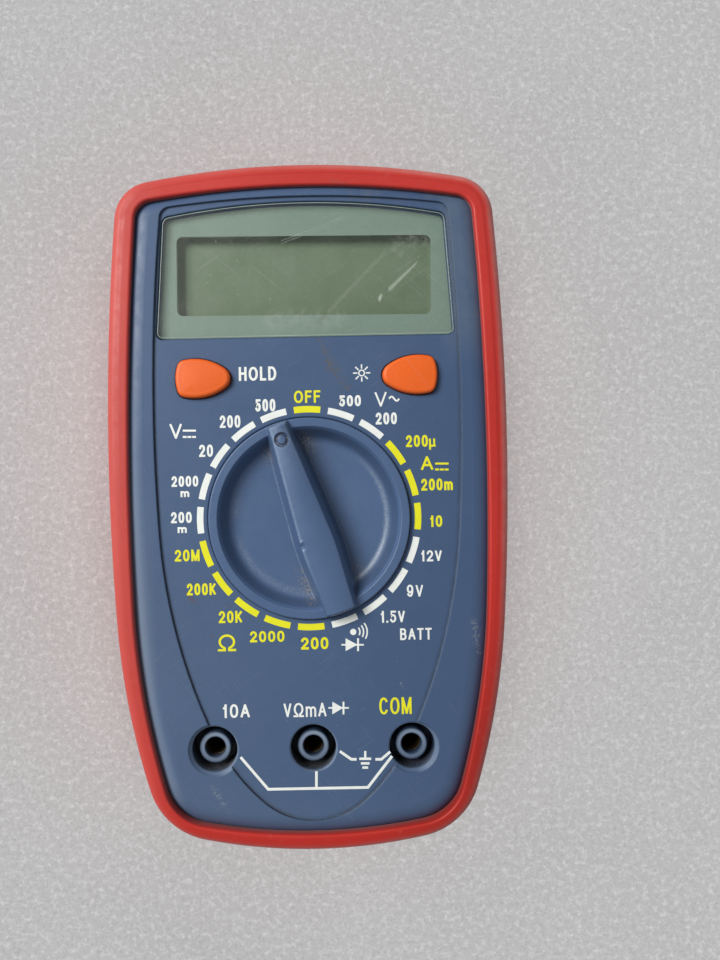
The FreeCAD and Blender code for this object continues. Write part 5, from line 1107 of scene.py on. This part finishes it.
def slab(store, poly, z=Z_INK):
    n = len(poly)
    area = sum(poly[i][0] * poly[(i + 1) % n][1] - poly[(i + 1) % n][0] * poly[i][1] for i in range(n))
    if area < 0:
        poly = poly[::-1]
    v = [(x * MM, y * MM, z * MM) for x, y in poly] + [(x * MM, y * MM, (z + INK) * MM) for x, y in poly]
    f = [tuple(range(n))[::-1], tuple(range(n, 2 * n))]
    f += [(j, (j + 1) % n, n + (j + 1) % n, n + j) for j in range(n)]
    add(store, v, f)


def stroke(store, a, b, w):
    a, b = np.array(a), np.array(b)
    d = (b - a) / np.linalg.norm(b - a)
    n = np.array((-d[1], d[0])) * w / 2
    slab(store, [tuple(a + n), tuple(a - n), tuple(b - n), tuple(b + n)])


def polyline(store, pts, w):
    ribbon(store, pts, w)


def arc_band(store, cx, cy, r0, r1, a0, a1, n=24):
    rm, full = (r0 + r1) / 2, abs(a1 - a0) >= 360
    pts = [(cx + rm * math.cos(math.radians(a0 + (a1 - a0) * k / n)),
            cy + rm * math.sin(math.radians(a0 + (a1 - a0) * k / n))) for k in range(n if full else n + 1)]
    ribbon(store, pts, r1 - r0, full)


A = (160.0, 380.0, 5.2267)     # magnified view over the dial
B = (170.0, 340.0, 5.6)        # over the buttons
C = (200.0, 690.0, 6.817)      # over the sockets
for store, text, vw, box_, wt in (
        (YELLOW, "OFF", A, (700, 838, 55, 120), 0.37), (WHITE, "500", A, (497, 603, 100, 165), 0.40),
        (WHITE, "200", A, (312, 420, 185, 250), 0.38), (WHITE, "20", A, (204, 277, 338, 402), 0.38),
        (WHITE, "2000", A, (60, 200, 502, 558), 0.36), (WHITE, "m", A, (107, 153, 570, 612), 0.34),
        (WHITE, "200", A, (57, 166, 690, 748), 0.37), (WHITE, "m", A, (92, 140, 758, 800), 0.34),
        (WHITE, "V", A, (50, 115, 228, 308), 0.37), (YELLOW, "20M", A, (77, 207, 887, 948), 0.38),
        (YELLOW, "200K", A, (140, 292, 1063, 1125), 0.38), (YELLOW, "20K", A, (307, 430, 1207, 1270), 0.38),
        (YELLOW, "2000", A, (470, 650, 1312, 1370), 0.38), (YELLOW, "200", A, (737, 880, 1345, 1408), 0.42),
        (YELLOW, "\u03a9", A, (302, 397, 1330, 1418), 0.40), (WHITE, "500", A, (935, 1050, 80, 138), 0.40),
        (WHITE, "V", A, (1122, 1185, 62, 140), 0.32), (WHITE, "200", A, (1127, 1238, 170, 232), 0.40),
        (YELLOW, "200", A, (1285, 1400, 288, 350), 0.38), (YELLOW, "\u00b5", A, (1406, 1442, 306, 364), 0.33),
        (YELLOW, "A", A, (1363, 1428, 398, 472), 0.40), (YELLOW, "200m", A, (1365, 1530, 515, 577), 0.38),
        (YELLOW, "10", A, (1410, 1475, 708, 768), 0.38), (WHITE, "12V", A, (1363, 1473, 890, 948), 0.33),
        (WHITE, "9", A, (1290, 1324, 1070, 1133), 0.33), (WHITE, "V", A, (1336, 1375, 1070, 1133), 0.31),
        (WHITE, "1.5V", A, (1152, 1280, 1206, 1268), 0.33),
        (WHITE, "BATT", A, (1255, 1420, 1297, 1358), 0.32), (WHITE, "HOLD", B, (385, 595, 150, 228), 0.42),
        (WHITE, "10A", C, (152, 340, 97, 190), 0.39), (WHITE, "V\u03a9mA", C, (570, 862, 88, 184), 0.33),
        (YELLOW, "COM", C, (1222, 1442, 50, 165), 0.39)):
    text_px(store, text, vw[0], vw[1], vw[2], *box_, weight=0.025 + wt * 1.02)


def at(vw, x, y):
    return row(vw[0] + x / vw[2], vw[1] + y / vw[2])


def bars(store, vw, x0, x1, y_solid, y_dash, w=0.38):
    """Direct-current sign: a line over three dashes."""
    stroke(store, at(vw, x0, y_solid), at(vw, x1, y_solid), w)
    third = (x1 - x0) / 3.4
    for k in range(3):
        a = x0 + k * third * 1.2
        stroke(store, at(vw, a, y_dash), at(vw, a + third, y_dash), w)


bars(WHITE, A, 119, 188, 265, 298)
bars(YELLOW, A, 1438, 1508, 437, 468)
# alternating-current sign
wave = [at(A, 1197 + 53 * t, 98 - 11 * math.sin(2 * math.pi * t)) for t in np.linspace(0, 1, 15)]
polyline(WHITE, wave, 0.34)
# lamp sign: ring and eight rays
sx_, sy_ = at(B, 1073, 185)
arc_band(WHITE, sx_, sy_, 0.42, 0.66, 0, 360, 28)
for k in range(8):
    c, s = unit(45 * k)
    stroke(WHITE, (sx_ + 0.82 * c, sy_ + 0.82 * s), (sx_ + 1.66 * c, sy_ + 1.66 * s), 0.26)


def diode(vw, x0, x1, xa, xb, ya, yb, yc):
    ribbon(WHITE, [at(vw, x0, yc), at(vw, x1, yc)], 0.30, False, Z_INK + 0.006)
    slab(WHITE, [at(vw, xa, ya), at(vw, xa, yb), at(vw, xb, yc)])
    ribbon(WHITE, [at(vw, xb + 3, ya), at(vw, xb + 3, yb)], 0.36, False, Z_INK + 0.012)


diode(A, 948, 1065, 970, 1032, 1350, 1417, 1384)
diode(C, 875, 1015, 902, 975, 80, 166, 122)
# beeper sign
dx_, dy_ = at(A, 1010, 1317)
slab(WHITE, [(dx_ + 0.6 * math.cos(k * math.pi / 12), dy_ + 0.6 * math.sin(k * math.pi / 12)) for k in range(24)])
for r_ in (1.15, 1.85, 2.55):
    arc_band(WHITE, dx_, dy_, r_, r_ + 0.28, -30, 38, 8)
# line that ties the sockets together, and the earth sign
polyline(WHITE, [row(240.6, 757.2), row(268.2, 789.3), row(367.9, 787.4), row(392.0, 756.1)], 0.52)
ribbon(WHITE, [row(316.4, 771.3), row(316.4, 788.2)], 0.5, False, Z_INK + 0.006)
polyline(WHITE, [row(339.8, 751.3), row(351.3, 759.3), row(356.6, 759.3)], 0.5)
polyline(WHITE, [row(375.4, 759.3), row(381.3, 759.3), row(390.1, 751.8)], 0.5)
ribbon(WHITE, [row(365.2, 751.0), row(365.2, 758.6)], 0.42, False, Z_INK + 0.006)
for k, (hw_, py_) in enumerate(((6.0, 758.8), (4.3, 763.4), (2.9, 767.6))):
    stroke(WHITE, row(365.2 - hw_, py_), row(365.2 + hw_, py_), 0.46)
# range marks round the dial
COLOURS = "YWWYYYWWWWYYYYYWWWWW"
for k, c_ in enumerate(COLOURS):
    mid = 90.0 - 18.0 * k
    half = math.degrees(2.55 / 20.97)
    arc_band(YELLOW if c_ == "Y" else WHITE, DIAL[0], DIAL[1], 20.35, 21.6, mid - half, mid + half, 8)

for nm, store, key in (("print_white", WHITE, "white_ink"), ("print_yellow", YELLOW, "yellow_ink")):
    ob = make_mesh(nm, store[0], store[1], M[key], False)
    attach(ob, "case")

# ---------------------------------------------------------------- the stage
g = Nodes("floor_pale")
fine = g.noise(0.70, 4.0, 0.75)
cloud = g.noise(0.02, 3.0, 0.5)
col = g.mix(g.ramp(cloud, 0.3, 0.7), (0.585, 0.578, 0.572), (0.625, 0.620, 0.616))
col = g.mix(g.ramp(fine, 0.48, 0.72, 0, 0.75), col, (0.88, 0.88, 0.88))
col = g.mix(g.ramp(g.noise(1.15, 3.0, 0.75), 0.28, 0.50, 0.55, 0.0), col, (0.42, 0.415, 0.41))
pr = g.principled(Base_Color=col, Roughness=0.85, Normal=g.bump(fine, 0.12, 0.5), Specular_IOR_Level=0.2)
floor_mat = g.finish(pr.outputs[0])
floor = make_mesh("floor", [(-1.2, -1.2, -0.0001), (1.2, -1.2, -0.0001), (1.2, 1.2, -0.0001), (-1.2, 1.2, -0.0001)],
                  [(0, 1, 2, 3)], floor_mat, False)


def area(name, loc, target, size, power, colour=(1, 1, 1)):
    li = bpy.data.lights.new(name, "AREA")
    li.shape = "DISK"
    li.size = size
    li.energy = power
    li.color = colour
    ob = bpy.data.objects.new(name, li)
    bpy.context.scene.collection.objects.link(ob)
    ob.location = loc
    ob.rotation_euler = (Vector(target) - Vector(loc)).to_track_quat("-Z", "Y").to_euler()
    return ob


key = area("key", (-0.50, 0.30, 0.57), (0, 0, 0.02), 0.40, 6.6, (1.0, 0.985, 0.965))
fill = area("fill", (0.45, -0.30, 0.55), (0, 0, 0.02), 0.6, 0.35, (0.95, 0.98, 1.0))
# the backdrop has its own even light, so that the table stays as pale beside the object as away from it
sweep = area("sweep", (0.0, 0.0, 2.2), (0, 0, 0), 2.4, 36.5, (1.0, 1.0, 1.0))
only_object = bpy.data.collections.new("lit_object")
only_floor = bpy.data.collections.new("lit_floor")
for ob in bpy.context.scene.objects:
    if ob.type == "MESH" and ob is not floor:
        only_object.objects.link(ob)
only_floor.objects.link(floor)
key.light_linking.receiver_collection = only_object
fill.light_linking.receiver_collection = only_object
sweep.light_linking.receiver_collection = only_floor
world = bpy.data.worlds.new("soft")
bpy.context.scene.world = world
world.use_nodes = True
bg = world.node_tree.nodes["Background"]
bg.inputs[0].default_value = (0.94, 0.97, 1.0, 1)
# a soft surround for the light, and a pale backdrop where the eye meets it
seen = world.node_tree.nodes.new("ShaderNodeLightPath")
lift = world.node_tree.nodes.new("ShaderNodeMath")
lift.operation = "MULTIPLY_ADD"
world.node_tree.links.new(seen.outputs["Is Camera Ray"], lift.inputs[0])
lift.inputs[1].default_value = 0.34
lift.inputs[2].default_value = 0.25
world.node_tree.links.new(lift.outputs[0], bg.inputs[1])

cam_data = bpy.data.cameras.new("camera")
cam_data.sensor_width = 36.0
cam_data.sensor_fit = "AUTO"
cam_data.lens = 26.25
cam = bpy.data.objects.new("camera", cam_data)
bpy.context.scene.collection.objects.link(cam)
# straight above the dial's axis; the lens is shifted sideways for this one standpoint only
cam.location = (0.0, 4.96 * MM, (31.0 + 134.75) * MM)
cam.rotation_euler = (0, 0, -ROT)
bpy.context.scene.camera = cam
cam_data.clip_start = 0.005
for prop, amount in (("shift_x", 0.05375), ("shift_y", 0.001)):
    drv = cam_data.driver_add(prop).driver
    var = drv.variables.new()
    var.name = "h"
    var.type = "TRANSFORMS"
    var.targets[0].id = cam
    var.targets[0].transform_type = "LOC_Z"
    var.targets[0].transform_space = "WORLD_SPACE"
    drv.expression = "%g if abs(h - %g) < 0.0002 else 0.0" % (amount, cam.location.z)
bpy.context.scene.view_settings.view_transform = "Standard"
